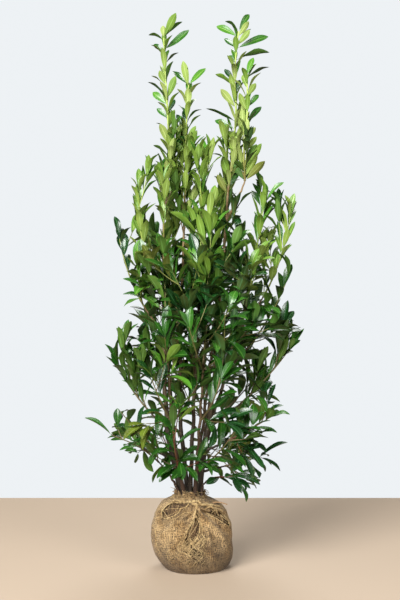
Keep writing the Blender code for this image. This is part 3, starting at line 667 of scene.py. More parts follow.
@dataclass
class Ball:
    """The shape of the root ball, by the source's formula."""

    radius: float = 0.145
    waist: float = 0.095
    rise: float = 0.165
    drop: float = 0.13
    upper_power: float = 2.6
    lower_power: float = 2.3
    neck: float = 0.25
    base_shift: float = 0.017
    neck_shift: float = -0.006
    lump: float = 0.018
    lump_waves: tuple = ((2, 0.7, 0, 1.0), (3, 0, 9, 0.6))
    pleats: int = 9
    pleat_depth: float = 0.03
    inwards: float = 0.012

    def radius_at(self, height: float) -> float:
        """The ball's mean radius at a height."""
        above = height > self.waist
        share = (height - self.waist) / self.rise if above else (self.waist - height) / self.drop
        power = self.upper_power if above else self.lower_power
        return self.radius * max(1 - share ** power, 0.0) ** (1 / power)

    def levels(self, count: int) -> list[float]:
        """The heights of rings from the base to the neck."""
        return [self.neck * sin(pi / 2 * i / count) ** 1.1 for i in range(count + 1)]

    def point(self, azimuth: float, radius: float, height: float, true_height: float) -> Vector:
        """A point of the ball, with its lean, its lumps and the pleats under its neck.

        Args:
            azimuth: In radians.
            radius: Mean radius there.
            height: Where the point is.
            true_height: The height that its lumps are read at.

        Returns:
            The point.
        """
        share = min(true_height / self.neck, 1.0)
        shift = self.base_shift * max(0.0, 1 - true_height / self.waist) + self.neck_shift * share ** 3
        lump = self.lump * sum(strength * sin(waves * azimuth + phase + twist * true_height)
                               for waves, phase, twist, strength in self.lump_waves)
        pleat = self.pleat_depth * share ** 5 * cos(self.pleats * azimuth)
        around = radius * (1 + lump * (1 - share ** 4) + pleat)
        return Vector((shift + around * cos(azimuth), around * sin(azimuth), height))

    def spot(self, azimuth_deg: float, height: float, outwards: float = 0.0) -> tuple[Vector, Vector]:
        """A point on the cloth and the way out of the ball there.

        Args:
            azimuth_deg: In degrees.
            height: In metres.
            outwards: How far off the cloth.

        Returns:
            The point and the direction.
        """
        azimuth = radians(azimuth_deg)
        point = self.point(azimuth, self.radius_at(height), height, height)
        lower = height - self.inwards
        low = self.point(azimuth, self.radius_at(lower), lower, lower)
        beside = Vector((-sin(azimuth), cos(azimuth), 0))
        out = beside.cross((point - low).normalized()).normalized()
        return point + out * outwards, out

    def distance(self, start: tuple, end: tuple) -> float:
        """The distance over the ball between two places given by azimuth and height."""
        return hypot(radians(end[0] - start[0]) * self.radius, end[1] - start[1])


BALL = Ball()


@dataclass(frozen=True)
class Tear:
    """A tear in the cloth, by the corners of its rim, and how many yarns still cross it."""

    corners: tuple  # azimuth in degrees and height of each
    yarns: int
    rim_points: int = 60

    def rim(self) -> np.ndarray:
        """The rim's points, rounded at its corners, each an azimuth and a height."""
        known = [(azimuth, height, 0.0) for azimuth, height in (*self.corners, self.corners[0])]
        return curve_through(known, self.rim_points)[:, :2]

    def inside(self, azimuth: float, height: float, rim: np.ndarray) -> float:
        """How far inside its rim a place is: above 0 inside, below 0 outside, in metres.

        Args:
            azimuth: In degrees.
            height: In metres.
            rim: The rim's points.

        Returns:
            The distance.
        """
        if not rim[:, 0].min() - 3 < azimuth < rim[:, 0].max() + 3:
            return -1.0
        flat = (rim - (azimuth, height)) * (radians(1) * BALL.radius, 1)
        low, high = flat[:-1], flat[1:]
        crossed = (low[:, 1] > 0) != (high[:, 1] > 0)
        rise = np.where(crossed, high[:, 1] - low[:, 1], 1)
        meets = crossed & (low[:, 0] - low[:, 1] * (high[:, 0] - low[:, 0]) / rise > 0)
        return float(np.linalg.norm(flat, axis=1).min()) * (1 if meets.sum() % 2 else -1)


@dataclass
class RootBall:
    """The soil, its roots, and the burlap with its tears, knot, strands and frayed collar."""

    tubes: TubeMaker
    sides: int = 240
    rings: int = 84
    soil_sides: int = 150
    soil_rings: int = 46
    soil_gap: float = 0.004  # between the source's cloth and the earth
    thickness: float = 0.0011
    # Places on the cloth are given by azimuth in degrees and height, rings by radius and height
    collar: tuple = ((0.063, 0.2545), (0.056, 0.259), (0.052, 0.2635), (0.05, 0.268), (0.05, 0.2725),
                     (0.051, 0.277), (0.053, 0.2815), (0.056, 0.286))
    collar_foot: float = 0.247  # height from which the cloth is ruffled, and over how much it comes to its full depth
    collar_height: float = 0.037
    flat_height: float = 0.012  # height up to which the cloth is pressed flat by the weight
    ruffles: int = 9
    ruffle_depth: float = 0.0085
    knot: tuple = (283.0, 0.24)
    knot_radius: float = 0.014
    strands: tuple = (((283, 0.24), (262, 0.247), (238, 0.248), (224, 0.244)),
                      ((283, 0.24), (282, 0.228), (280, 0.214)),
                      ((284, 0.238), (290, 0.229), (303, 0.226), (314, 0.217), (325, 0.201)),
                      ((284, 0.242), (298, 0.236), (318, 0.231), (334, 0.222)))
    folds: tuple = ((200, 0.17), (216, 0.12), (232, 0.06), (246, 0.02), (262, 0.05), (284, 0.03), (296, 0.09),
                    (308, 0.02), (322, 0.11), (338, 0.06), (352, 0.14), (10, 0.19), (180, 0.2), (300, 0.15))
    fold_width: float = 0.009
    fold_height: float = 0.0105
    tears: tuple = (
        Tear(((221, 0.19), (216, 0.21), (214, 0.228), (222, 0.239), (240, 0.244), (254, 0.246), (268, 0.241),
              (262, 0.231), (252, 0.226), (249, 0.213), (243, 0.204), (233, 0.195)), 2),
        Tear(((278, 0.206), (283, 0.193), (284, 0.174), (282, 0.153), (279, 0.137), (275, 0.123), (269, 0.112),
              (262, 0.099), (258, 0.106), (260, 0.123), (264, 0.142), (266, 0.162), (269, 0.182), (274, 0.197)), 5),
        Tear(((296, 0.221), (313, 0.222), (324, 0.216), (335, 0.204), (342, 0.184), (342, 0.157), (331, 0.164),
              (319, 0.184), (307, 0.204)), 1))
    net: tuple = (275.0, 0.086, 15.0, 0.05)  # worn patch: its middle's place and its half sizes
    net_holes: float = 0.42  # share of its middle that is open
    net_yarns: int = 70
    collar_yarns: int = 110
    strand_yarns: int = 9
    tear_roots: int = 14
    collar_roots: int = 34
    hem_radius: float = 0.0021
    hollow: float = 0.006  # depth to which the soil has crumbled away behind a tear
    frays: int = 16
    ropes: tuple = (  # rolled hems on the cloth, each with its radius
        (((279, 0.221), (273, 0.19), (265, 0.16), (257, 0.126), (252, 0.108), (252, 0.093), (259, 0.085),
          (269, 0.074)), 0.0036),
        (((284, 0.218), (286, 0.196), (287, 0.167), (286, 0.148), (291, 0.128)), 0.003),
        (((208, 0.156), (212, 0.124), (216, 0.102), (219, 0.072)), 0.0017))

    def from_knot(self, azimuth_deg: float, height: float) -> tuple[float, float]:
        """How far across and up from the knot a place on the ball is, in metres."""
        across = radians((azimuth_deg - self.knot[0] + 180) % 360 - 180) * BALL.radius
        return across, height - self.knot[1]

    def fold_at(self, azimuth_deg: float, height: float) -> float:
        """How far the folds that run from the knot lift the cloth at a place.

        Args:
            azimuth_deg: In degrees.
            height: In metres.

        Returns:
            The lift in metres.
        """
        px, pz = self.from_knot(azimuth_deg, height)
        lift = 0.0
        for azimuth, end_height in self.folds:
            dx, dz = self.from_knot(azimuth, end_height)
            size = hypot(dx, dz)
            t = (px * dx + pz * dz) / size ** 2
            off = (px * dz - pz * dx) / size + 0.006 * sin(5 * t + azimuth)
            if 0 < t < 1.15:
                fade = sin(pi * clamp(t / 1.15) ** 0.5)
                width = self.fold_width * (0.5 + t)
                lift += self.fold_height * fade * (exp(-(off / width) ** 2)
                                                   - 0.6 * exp(-((off - 1.6 * width) / width) ** 2))
        return lift

    def wrinkle(self, azimuth: float, height: float) -> float:
        """Small unevenness of the cloth at an azimuth in radians and a height."""
        here = Vector((cos(azimuth), sin(azimuth), height * 7))
        shoulder = 0.005 * exp(-((height - 0.228) / 0.018) ** 2)
        return shoulder + 0.0036 * noise.noise(here * 2.4) + 0.0018 * noise.noise(here * 7.0)

    def cloth_spot(self, azimuth: float, radius: float, height: float) -> Vector:
        """A point of the cloth, with its folds, its wrinkles and the ruffles of its collar.

        Args:
            azimuth: In radians.
            radius: The mean radius there.
            height: In metres.

        Returns:
            The point.
        """
        above = max(0.0, (height - self.collar_foot) / self.collar_height)
        ruffle = self.ruffle_depth * above * sin(self.ruffles * azimuth + 2 * sin(3 * azimuth))
        lift = self.fold_at(degrees(azimuth), height) + self.wrinkle(azimuth, height)
        lift = lift * min(1.0, height / self.flat_height) * (1 - 0.7 * min(above, 1))
        point = BALL.point(azimuth, radius + ruffle + lift, height, height)
        point.z += above * (0.016 * noise.noise(Vector((cos(azimuth) * 4, sin(azimuth) * 4, 1)))
                            - 0.01 * (1 + cos(azimuth - 0.3)) / 2)
        return point

    def lay_cloth(self) -> Object:
        """The cloth as one sheet with its tears, given its thickness afterwards."""
        rows = [*((BALL.radius_at(height), height) for height in BALL.levels(self.rings)), *self.collar]
        run = [0.0]
        for low, high in zip(rows, rows[1:]):
            run.append(run[-1] + hypot(high[0] - low[0], high[1] - low[1]))
        bm = bmesh.new()
        uv = bm.loops.layers.uv.new("UVMap")
        rng = Random(SEED)
        grid = [[bm.verts.new(self.cloth_spot(tau * k / self.sides, *row)) for k in range(self.sides)]
                for row in rows]
        ragged = [[rng.uniform(-0.0015, 0.0015) + 0.004 * noise.noise(Vector((k * 0.28, i * 0.34, 7.0)))
                   for k in range(self.sides)] for i in range(len(rows))]
        top, rims = len(rows) - 1, [tear.rim() for tear in self.tears]
        middle, level, wide, tall = self.net
        for i, (low, high) in enumerate(zip(grid, grid[1:])):
            height = (rows[i][1] + rows[i + 1][1]) / 2
            for k in range(self.sides):
                bearing = 360 * (k + 0.5) / self.sides
                turn = radians(bearing)
                is_torn = any(tear.inside(bearing, height, rim) + ragged[i][k] > 0
                              for tear, rim in zip(self.tears, rims))
                open_net = 1 - ((bearing - middle) / wide) ** 2 - ((height - level) / tall) ** 2
                notch = 5.5 * abs(noise.noise(Vector((cos(turn * 2) * 2, sin(turn) * 4, 4.0))))
                is_top = i > top - 1.5 - notch - ragged[i][k] * 300
                if is_torn or rng.random() < self.net_holes * open_net or is_top:
                    continue
                n = (k + 1) % self.sides
                face = bm.faces.new((low[k], low[n], high[n], high[k]))
                for loop, (side, row) in zip(face.loops, ((k, i), (k + 1, i), (k + 1, i + 1), (k, i + 1))):
                    loop[uv].uv = (tau * side / self.sides * BALL.radius, run[row])
        base = bm.faces.new(list(reversed(grid[0])))
        for loop in base.loops:
            loop[uv].uv = (loop.vert.co.x, loop.vert.co.y)
        bmesh.ops.delete(bm, geom=[v for v in bm.verts if not v.link_faces], context="VERTS")
        piece = new_object("burlap", smooth_mesh("burlap", bm, CLOTH))
        thick = piece.modifiers.new("thickness", "SOLIDIFY")
        thick.thickness = self.thickness
        thick.offset = -1.0
        piece.data = bpy.data.meshes.new_from_object(piece.evaluated_get(bpy.context.evaluated_depsgraph_get()))
        piece.modifiers.clear()
        return piece

    def heap_soil(self) -> Object:
        """The earth, crumbly where the tears and the collar show it."""
        bm = bmesh.new()
        rings, rims = [], [(tear, tear.rim()) for tear in self.tears]
        for height in BALL.levels(self.soil_rings):
            ring = []
            for k in range(self.soil_sides):
                azimuth = tau * k / self.soil_sides
                radius = BALL.radius_at(height) - self.soil_gap
                point = BALL.point(azimuth, radius, max(height, 0.002), height)
                open_by = max(tear.inside(degrees(azimuth), height, rim) for tear, rim in rims)
                hollow = self.hollow * clamp(open_by / self.hollow)
                rough = noise.fractal(point * 45, 1.0, 2.0, 4) * 0.0038 + 0.003 + hollow
                inward = Vector((-cos(azimuth), -sin(azimuth), 0))
                ring.append(bm.verts.new(point + inward * rough))
            rings.append(ring)
        for share in (0.8, 0.55, 0.3, 0.1):
            ring = []
            for v in rings[self.soil_rings]:
                point = Vector((BALL.neck_shift + (v.co.x - BALL.neck_shift) * share, v.co.y * share, v.co.z))
                point.z += noise.fractal(point * 60, 1.0, 2.0, 4) * 0.004 + 0.002 * (1 - share)
                ring.append(bm.verts.new(point))
            rings.append(ring)
        for low, high in zip(rings, rings[1:]):
            for k in range(self.soil_sides):
                n = (k + 1) % self.soil_sides
                bm.faces.new((low[k], low[n], high[n], high[k]))
        bm.faces.new(list(reversed(rings[0])))
        bm.faces.new(rings[-1])
        return new_object("soil", smooth_mesh("soil", bm, EARTH))

    def twisted(self, places: Sequence[tuple], plies: int, radius: float, taper: float,
                rng: Random) -> list[Wire]:
        """The plies of a rolled strand of the cloth that lies along the ball.

        Args:
            places: Azimuths and heights that it passes.
            plies: How many.
            radius: Of the whole strand at its thick end.
            taper: Share of it that is lost at its thin end.
            rng: Where its unevenness comes from.

        Returns:
            The plies.
        """
        known = np.array(places, float)
        length = sum(BALL.distance(a, b) for a, b in zip(places, places[1:]))
        count = max(12, round(length / 0.0028))
        share = np.linspace(0, len(known) - 1, count)
        azimuths, heights = (np.interp(share, range(len(known)), known[:, k]).tolist() for k in (0, 1))
        spots = [BALL.spot(a, h, self.lift_at(a, h)) for a, h in zip(azimuths, heights)]
        wires = []
        for ply in range(plies):
            rows, radii = [], []
            for i, (spot, out) in enumerate(spots):
                size = radius * (1 - taper * i / (count - 1)) * (1 + 0.25 * noise.noise(spot * 90))
                nearby = spots[min(i + 1, count - 1)][0] - spots[max(i - 1, 0)][0]
                beside = out.cross(nearby.normalized())
                turn = tau * ply / plies + i * 0.55
                rows.append(spot + out * size * 0.6 + (out * cos(turn) + beside * sin(turn)) * size * 0.46)
                radii.append(size * 0.54 * rng.uniform(0.88, 1.1))
            wires.append(Wire(rows, radii))
        return wires

    def lift_at(self, azimuth: float, height: float) -> float:
        """How far the folds and wrinkles lift the cloth at an azimuth in degrees and a height."""
        return self.fold_at(azimuth % 360, height) + self.wrinkle(radians(azimuth), height)

    def tie(self) -> list[Wire]:
        """The knot: two plies that wind round each other, and the strands that leave it."""
        rng = Random(SEED + 5)
        centre, out = BALL.spot(*self.knot, self.knot_radius * 0.55)
        up = Vector((0, 0, 1))
        beside = up.cross(out).normalized()
        up = out.cross(beside)
        wires = []
        for loop in range(2):
            rows = []
            for i in range(33):
                turn = tau * i / 32
                flat = (beside * cos(turn + loop * 1.9) * 1.15 + up * sin(turn) * 0.8)
                rows.append(centre + flat * self.knot_radius * 0.72
                            + out * sin(2 * turn + loop * 3.1) * self.knot_radius * 0.34)
            wires.append(Wire(rows, self.knot_radius * 0.4))
        for places in self.strands:
            wires += self.twisted(places, 3, 0.006, 0.45, rng)
        for tear in self.tears:
            wires += self.twisted([tuple(p) for p in tear.rim()[::3]], 2, self.hem_radius, 0.0, rng)
        for places, size in self.ropes:
            wires += self.twisted(places, 2, size, 0.3, rng)
        return wires

    def on_cloth(self, places: Sequence[tuple], lift: float) -> np.ndarray:
        """Points on the cloth at azimuths and heights, held a little off it."""
        return np.array([BALL.spot(azimuth, height, lift + self.lift_at(azimuth, height))[0]
                         for azimuth, height in places])

    def fray(self) -> list[Wire]:
        """Loose yarns: across the tears, out of their edges, along the strands' ends and round the collar."""
        rng = Random(SEED + 9)
        wires = []
        for tear in self.tears:
            rim = tear.rim()
            middle = rim.mean(axis=0)
            for _ in range(tear.yarns):
                first = rng.randrange(len(rim))
                ends = rim[first], rim[(first + len(rim) // 2 + rng.randint(-8, 8)) % len(rim)]
                places = [ends[0] + (ends[1] - ends[0]) * t for t in np.linspace(0, 1, 9)]
                places = [(a + rng.uniform(-0.4, 0.4), h) for a, h in places]
                wires.append(Wire(self.on_cloth(places, 0.0006), rng.uniform(0.0006, 0.001)))
            for _ in range(self.frays):
                edge, hang = rim[rng.randrange(len(rim))], rng.uniform(0.1, 0.4)
                places = [edge + (middle - edge) * hang * j / 4 for j in range(-1, 4)]
                places = [(a + rng.uniform(-0.3, 0.3) * j, h - 0.0006 * j * j) for j, (a, h) in enumerate(places)]
                wires.append(Wire(self.on_cloth(places, 0.0012), rng.uniform(0.0004, 0.0007)))
        azimuth, height, wide, tall = self.net
        for _ in range(self.net_yarns):
            slope = radians(rng.choice((-48, 42, 48)) + rng.uniform(-14, 14))
            start = (azimuth + rng.uniform(-1, 1) * wide, height + rng.uniform(-1, 1) * tall)
            reach = rng.uniform(0.01, 0.022)
            places = [(start[0] + degrees(cos(slope) * reach * s / BALL.radius),
                       start[1] + sin(slope) * reach * s) for s in np.linspace(-1, 1, 7)]
            wires.append(Wire(self.on_cloth(places, rng.uniform(0.0006, 0.0022)), rng.uniform(0.0006, 0.001)))
        for azimuth, height in (places[-1] for places in self.strands):
            for _ in range(self.strand_yarns):
                spot, out = BALL.spot(azimuth + rng.uniform(-1.5, 1.5), height, 0.004)
                away = Vector((rng.uniform(-1, 1), rng.uniform(-1, 1), rng.uniform(-1.2, 0.2))) + out * 0.7
                rows = [spot + away * 0.004 * j + Vector((0, 0, -0.0006 * j * j)) for j in range(5)]
                wires.append(Wire(rows, 0.0006))
        for _ in range(self.collar_yarns):
            azimuth = rng.uniform(0, tau)
            radius, height = 0.051 + rng.uniform(-0.008, 0.006), 0.266 + rng.uniform(-0.016, 0.01)
            rows = []
            place = Vector((BALL.neck_shift + radius * cos(azimuth), radius * sin(azimuth), height))
            away = Vector((cos(azimuth) * 0.5 + rng.uniform(-0.8, 0.8), sin(azimuth) * 0.5
                           + rng.uniform(-0.8, 0.8), rng.uniform(0.0, 1.0)))
            for j in range(6):
                rows.append(place)
                place = place + away * 0.003
                away += Vector((rng.uniform(-0.7, 0.7), rng.uniform(-0.7, 0.7), rng.uniform(-0.6, 0.1)))
            wires.append(Wire(rows, rng.uniform(0.0005, 0.0009)))
        return wires

    def cords(self) -> list[Wire]:
        """The thin cord across the left tear, the looped selvedge low on the left and the root stub's yarn."""
        across = [(246, 0.237), (245, 0.209), (245, 0.184), (243, 0.164)]
        loop = [(243 + 10 * cos(0.5 * k), 0.052 + 0.013 * sin(0.9 * k) + 0.003 * k) for k in range(14)]
        hem = [(150 + 9 * k, 0.205 + 0.012 * sin(1.1 * k)) for k in range(24)]
        return [Wire(resample(self.on_cloth(places, 0.001), 0, 1, 30), radius)
                for places, radius in ((across, 0.0011), (loop, 0.0013), (hem, 0.0011))]

    def roots(self) -> list[Wire]:
        """Fine roots on the soil behind each tear, and one cut root stub at the right of the neck."""
        rng = Random(SEED + 13)
        wires = []
        for tear in self.tears:
            rim = tear.rim()
            for _ in range(self.tear_roots):
                azimuth, height = rim[rng.randrange(len(rim))] * 0.5 + rim.mean(axis=0) * 0.5
                rows, turn = [], rng.uniform(0, tau)
                for _ in range(9):
                    spot, _ = BALL.spot(azimuth, height, -0.004 - self.hollow)
                    rows.append(spot)
                    turn += rng.uniform(-0.7, 0.7)
                    azimuth += degrees(cos(turn) * 0.004 / BALL.radius)
                    height += sin(turn) * 0.004
                wires.append(Wire(rows, np.linspace(1, 0.5, 9) * rng.uniform(0.0006, 0.0013)))
        for _ in range(self.collar_roots):
            azimuth, radius = rng.uniform(0, tau), rng.uniform(0.03, 0.06)
            place = np.array((BALL.neck_shift + radius * cos(azimuth), radius * sin(azimuth),
                              rng.uniform(0.258, 0.276)))
            way = unit(np.array((rng.uniform(-1, 1), rng.uniform(-1, 1), rng.uniform(-0.2, 0.8))))
            rows = [place]
            for _ in range(5):
                way = unit(way + np.array([rng.uniform(-0.5, 0.5) for _ in range(3)]))
                rows.append(rows[-1] + way * rng.uniform(0.0025, 0.005))
            wires.append(Wire(rows, np.linspace(1, 0.6, 6) * rng.uniform(0.0012, 0.003)))
        foot, way, end = np.array(((0.07, -0.04, 0.236), (0.7, -0.35, 0.4), (0.128, -0.062, 0.236)))
        stub = bent_path(foot, way, end)
        wires.append(Wire(resample(stub, 0, 1, 12), np.linspace(0.0032, 0.0016, 12)))
        return wires

    def build(self) -> None:
        """Makes the pieces of the root ball."""
        settle(self.heap_soil(), ["soil_ball"])
        settle(self.lay_cloth(), ["burlap_wrap"])
        settle(self.tubes.make("burlap_knot", self.tie(), YARN, 10, 0.003, 0.0016, 420.0), ["burlap_wrap"])
        settle(self.tubes.make("burlap_yarns", self.fray() + self.cords(), YARN, 5, 0.004, 0.0003, 300.0),
               ["burlap_wrap"])
        settle(self.tubes.make("roots", self.roots(), ROOT_SKIN, 6, 0.004, 0.0006, 200.0), ["soil_ball"])


# Plant


@dataclass(frozen=True)
class Habit:
    """How one kind of foliage grows, carried to finer twigs than in the source."""

    leaf_length: tuple
    leaf_width: tuple
    spacing: float  # between leaves along a twig
    open_foot: float  # degrees between a leaf and its twig
    open_tip: float
    twig_spacing: float
    twig_reach: float
    twig_open: float
    fine_share: float  # chance that a side twig bears a finer one
    is_new: bool = False
    is_lime: bool = False  # has green wood and pale leaves inside the crown


SHOOT = Habit((0.08, 0.108), (0.023, 0.03), 0.02, 36, 18, 0.15, 0.12, 30, 0.0, True)
BUSHY = Habit((0.098, 0.138), (0.03, 0.038), 0.029, 58, 32, 0.073, 0.135, 46, 0.45)
LIGHT = Habit((0.09, 0.122), (0.025, 0.031), 0.024, 46, 24, 0.062, 0.12, 38, 0.3, is_lime=True)
FAN = Habit((0.1, 0.142), (0.022, 0.029), 0.02, 40, 16, 0.042, 0.09, 26, 0.5)
SKIRT = Habit((0.094, 0.134), (0.027, 0.035), 0.029, 64, 40, 0.076, 0.12, 52, 0.5)


@dataclass(frozen=True)
class Stem:
    """One stem, as in the source."""

    name: str
    foot: tuple
    low: tuple
    high: tuple
    tip: tuple
    radius: float
    leafy_from: float
    habit: Habit
    droop: float = 0.0


STEMS = tuple(Stem(*row) for row in (
    ("right_leader", (0.024, -0.004), (0.084, 0.008, 0.69), (0.128, 0.01, 1.29), (0.16, 0, 1.915),
     0.013, 0.66, SHOOT),
    ("left_leader", (-0.036, 0.004), (-0.09, 0, 0.54), (-0.1, 0.004, 1.18), (-0.099, 0, 1.885),
     0.01, 0.62, SHOOT),
    ("left_second", (-0.014, 0.017), (-0.042, 0.03, 0.6), (-0.028, 0.03, 1.2), (-0.012, 0.01, 1.735),
     0.0085, 0.64, SHOOT),
    ("centre", (-0.004, -0.02), (0.008, -0.05, 0.56), (0.028, -0.055, 1.00), (0.044, -0.04, 1.45),
     0.008, 0.66, LIGHT),
    ("right_second", (0.03, 0.023), (0.068, 0.032, 0.5), (0.19, 0.035, 0.9), (0.266, 0.02, 1.32),
     0.0085, 0.68, LIGHT),
    ("left_low", (-0.037, -0.017), (-0.09, -0.02, 0.35), (-0.18, -0.02, 0.43), (-0.286, -0.02, 0.478),
     0.005, 0.45, SKIRT, 0.12),
    ("front_right", (0.012, -0.036), (0.03, -0.095, 0.52), (0.05, -0.12, 0.85), (0.07, -0.12, 1.2),
     0.007, 0.58, BUSHY),
    ("front_left", (-0.024, -0.032), (-0.062, -0.09, 0.48), (-0.085, -0.12, 0.8), (-0.095, -0.11, 1.12),
     0.007, 0.58, BUSHY),
    ("back_left", (-0.034, 0.028), (-0.075, 0.09, 0.56), (-0.09, 0.13, 0.95), (-0.08, 0.125, 1.31),
     0.007, 0.64, BUSHY),
    ("back_right", (0.01, 0.036), (0.05, 0.1, 0.56), (0.09, 0.14, 0.95), (0.11, 0.13, 1.36),
     0.007, 0.64, LIGHT),
    ("low_twig", (0.035, -0.028), (0.048, -0.031, 0.308), (0.11, -0.032, 0.33), (0.168, -0.03, 0.312),
     0.004, 0.55, SKIRT, 0.5),
))


@dataclass(frozen=True)
class Bough:
    """One bough, as in the source."""

    name: str
    stem: str
    height: float
    aim: tuple
    bare: float
    habit: Habit
    droop: float = 0.0


BOUGHS = tuple(Bough(*row) for row in (
    ("leader_twin", "right_leader", 1.26, (0.216, -0.02, 1.835), 0.3, SHOOT),
    ("left_shoot", "left_leader", 0.98, (-0.18, -0.03, 1.44), 0.28, SHOOT),
    ("left_high", "left_leader", 0.84, (-0.274, 0.01, 1.272), 0.32, BUSHY),
    ("left_middle", "left_leader", 0.5, (-0.305, 0.02, 0.805), 0.34, FAN),
    ("left_lower", "left_leader", 0.38, (-0.3, -0.07, 0.64), 0.32, SKIRT, 0.1),
    ("right_high", "right_second", 0.86, (0.37, 0.03, 1.352), 0.3, LIGHT),
    ("right_upper", "right_second", 0.72, (0.376, -0.03, 1.13), 0.3, BUSHY),
    ("right_middle", "right_second", 0.5, (0.408, 0.01, 0.86), 0.34, FAN, 0.1),
    ("right_lower", "right_leader", 0.42, (0.354, -0.04, 0.59), 0.36, SKIRT, 0.2),
    ("right_bottom", "right_leader", 0.34, (0.335, 0.01, 0.42), 0.4, SKIRT, 0.4),
))

# Sprays straight off the stems, four to a level: habit and droop, then for each spray its foot, where its main twig
# bends, and its end, in tenths of a millimetre
SPRAYS = (
    (SKIRT, 0.25,
     ((-421, -652, 3599), (-526, -1261, 3976), (-606, -2084, 5156)),
     ((230, -621, 3599), (769, -1095, 3992), (1606, -1766, 5219)),
     ((260, 613, 3599), (578, 1206, 4008), (1198, 1985, 5219)),
     ((-504, 524, 3599), (-867, 992, 4001), (-1298, 1691, 5167))),
    (BUSHY, 0.17,
     ((-714, -1026, 5399), (-940, -1457, 5798), (-1336, -1933, 6884)),
     ((337, -1023, 5400), (659, -1485, 5799), (1015, -2198, 6919)),
     ((858, 357, 5399), (1526, 637, 5773), (2492, 1148, 6974)),
     ((461, 1014, 5399), (485, 1574, 5791), (369, 2337, 6914))),
    (BUSHY, 0.1,
     ((403, -1180, 7200), (229, -1654, 7606), (-60, -2291, 8694)),
     ((474, -1149, 7200), (1138, -1171, 7629), (2148, -1429, 8811)),
     ((696, 1261, 7200), (836, 1730, 7593), (1026, 2335, 8671)),
     ((-881, 1136, 7200), (-1203, 1432, 7598), (-1605, 1765, 8654))),
    (BUSHY, 0.02,
     ((206, -598, 9000), (-70, -1129, 9428), (-625, -1861, 10572)),
     ((1896, 296, 9000), (1888, -361, 9444), (2064, -1403, 10621)),
     ((898, 1389, 9000), (1368, 1563, 9398), (1970, 1859, 10485)),
     ((822, 1398, 9000), (448, 1749, 9414), (-107, 2229, 10505))),
)

# The crown's outline from the front: height, reach to the left and to the right of the origin
OUTLINE = np.array((
    (250, 120, 200), (300, 140, 240), (340, 150, 290), (380, 180, 280), (430, 230, 260), (470, 270, 280),
    (510, 290, 290), (550, 240, 290), (600, 200, 280), (640, 190, 255), (680, 210, 250), (730, 240, 260),
    (770, 260, 285), (800, 250, 340), (840, 225, 370), (880, 215, 360), (920, 215, 330), (960, 215, 310),
    (1000, 220, 295), (1040, 220, 290), (1080, 215, 300), (1120, 210, 300), (1160, 215, 310), (1200, 220, 335),
    (1250, 230, 345), (1290, 200, 335), (1330, 175, 330), (1380, 175, 300), (1420, 165, 260), (1460, 145, 250),
    (1510, 130, 235), (1550, 115, 230), (1700, 140, 250), (1900, 140, 280), (2020, 100, 210),
)) / 1000
# Share of the side twigs that grow at a height, open where the sky is seen between them
GROWTH = np.array(((0.3, 0.55), (0.5, 0.75), (0.62, 1.0), (1.00, 0.9), (1.06, 0.65), (1.18, 0.65), (1.26, 1.0)))
# The crown's depth beside its width
DEPTH_SHARE = 0.9
# Where the camera stands, level and straight before the plant: place across, distance and height
CENTRE = 0.031
VIEW_DISTANCE = 3.8
EYE_HEIGHT = 0.962

# The leaders' main twigs, from where their stems end by way of these points
LEADER_PATHS = {
    "foliage_left_leader": ((-0.08, 0.002, 1.45), (-0.084, 0.0, 1.6), (-0.092, 0.0, 1.75), (-0.1, 0.0, 1.908)),
    "foliage_right_leader": ((0.15, 0.006, 1.5), (0.161, 0.003, 1.64), (0.156, 0.0, 1.78), (0.17, 0.0, 1.932)),
    "foliage_leader_twin": ((0.188, -0.042, 1.48), (0.198, -0.045, 1.6), (0.2, -0.042, 1.7),
                            (0.198, -0.036, 1.765)),
    "foliage_left_second": ((-0.023, 0.024, 1.4), (-0.02, 0.018, 1.56), (-0.01, 0.01, 1.74)),
}
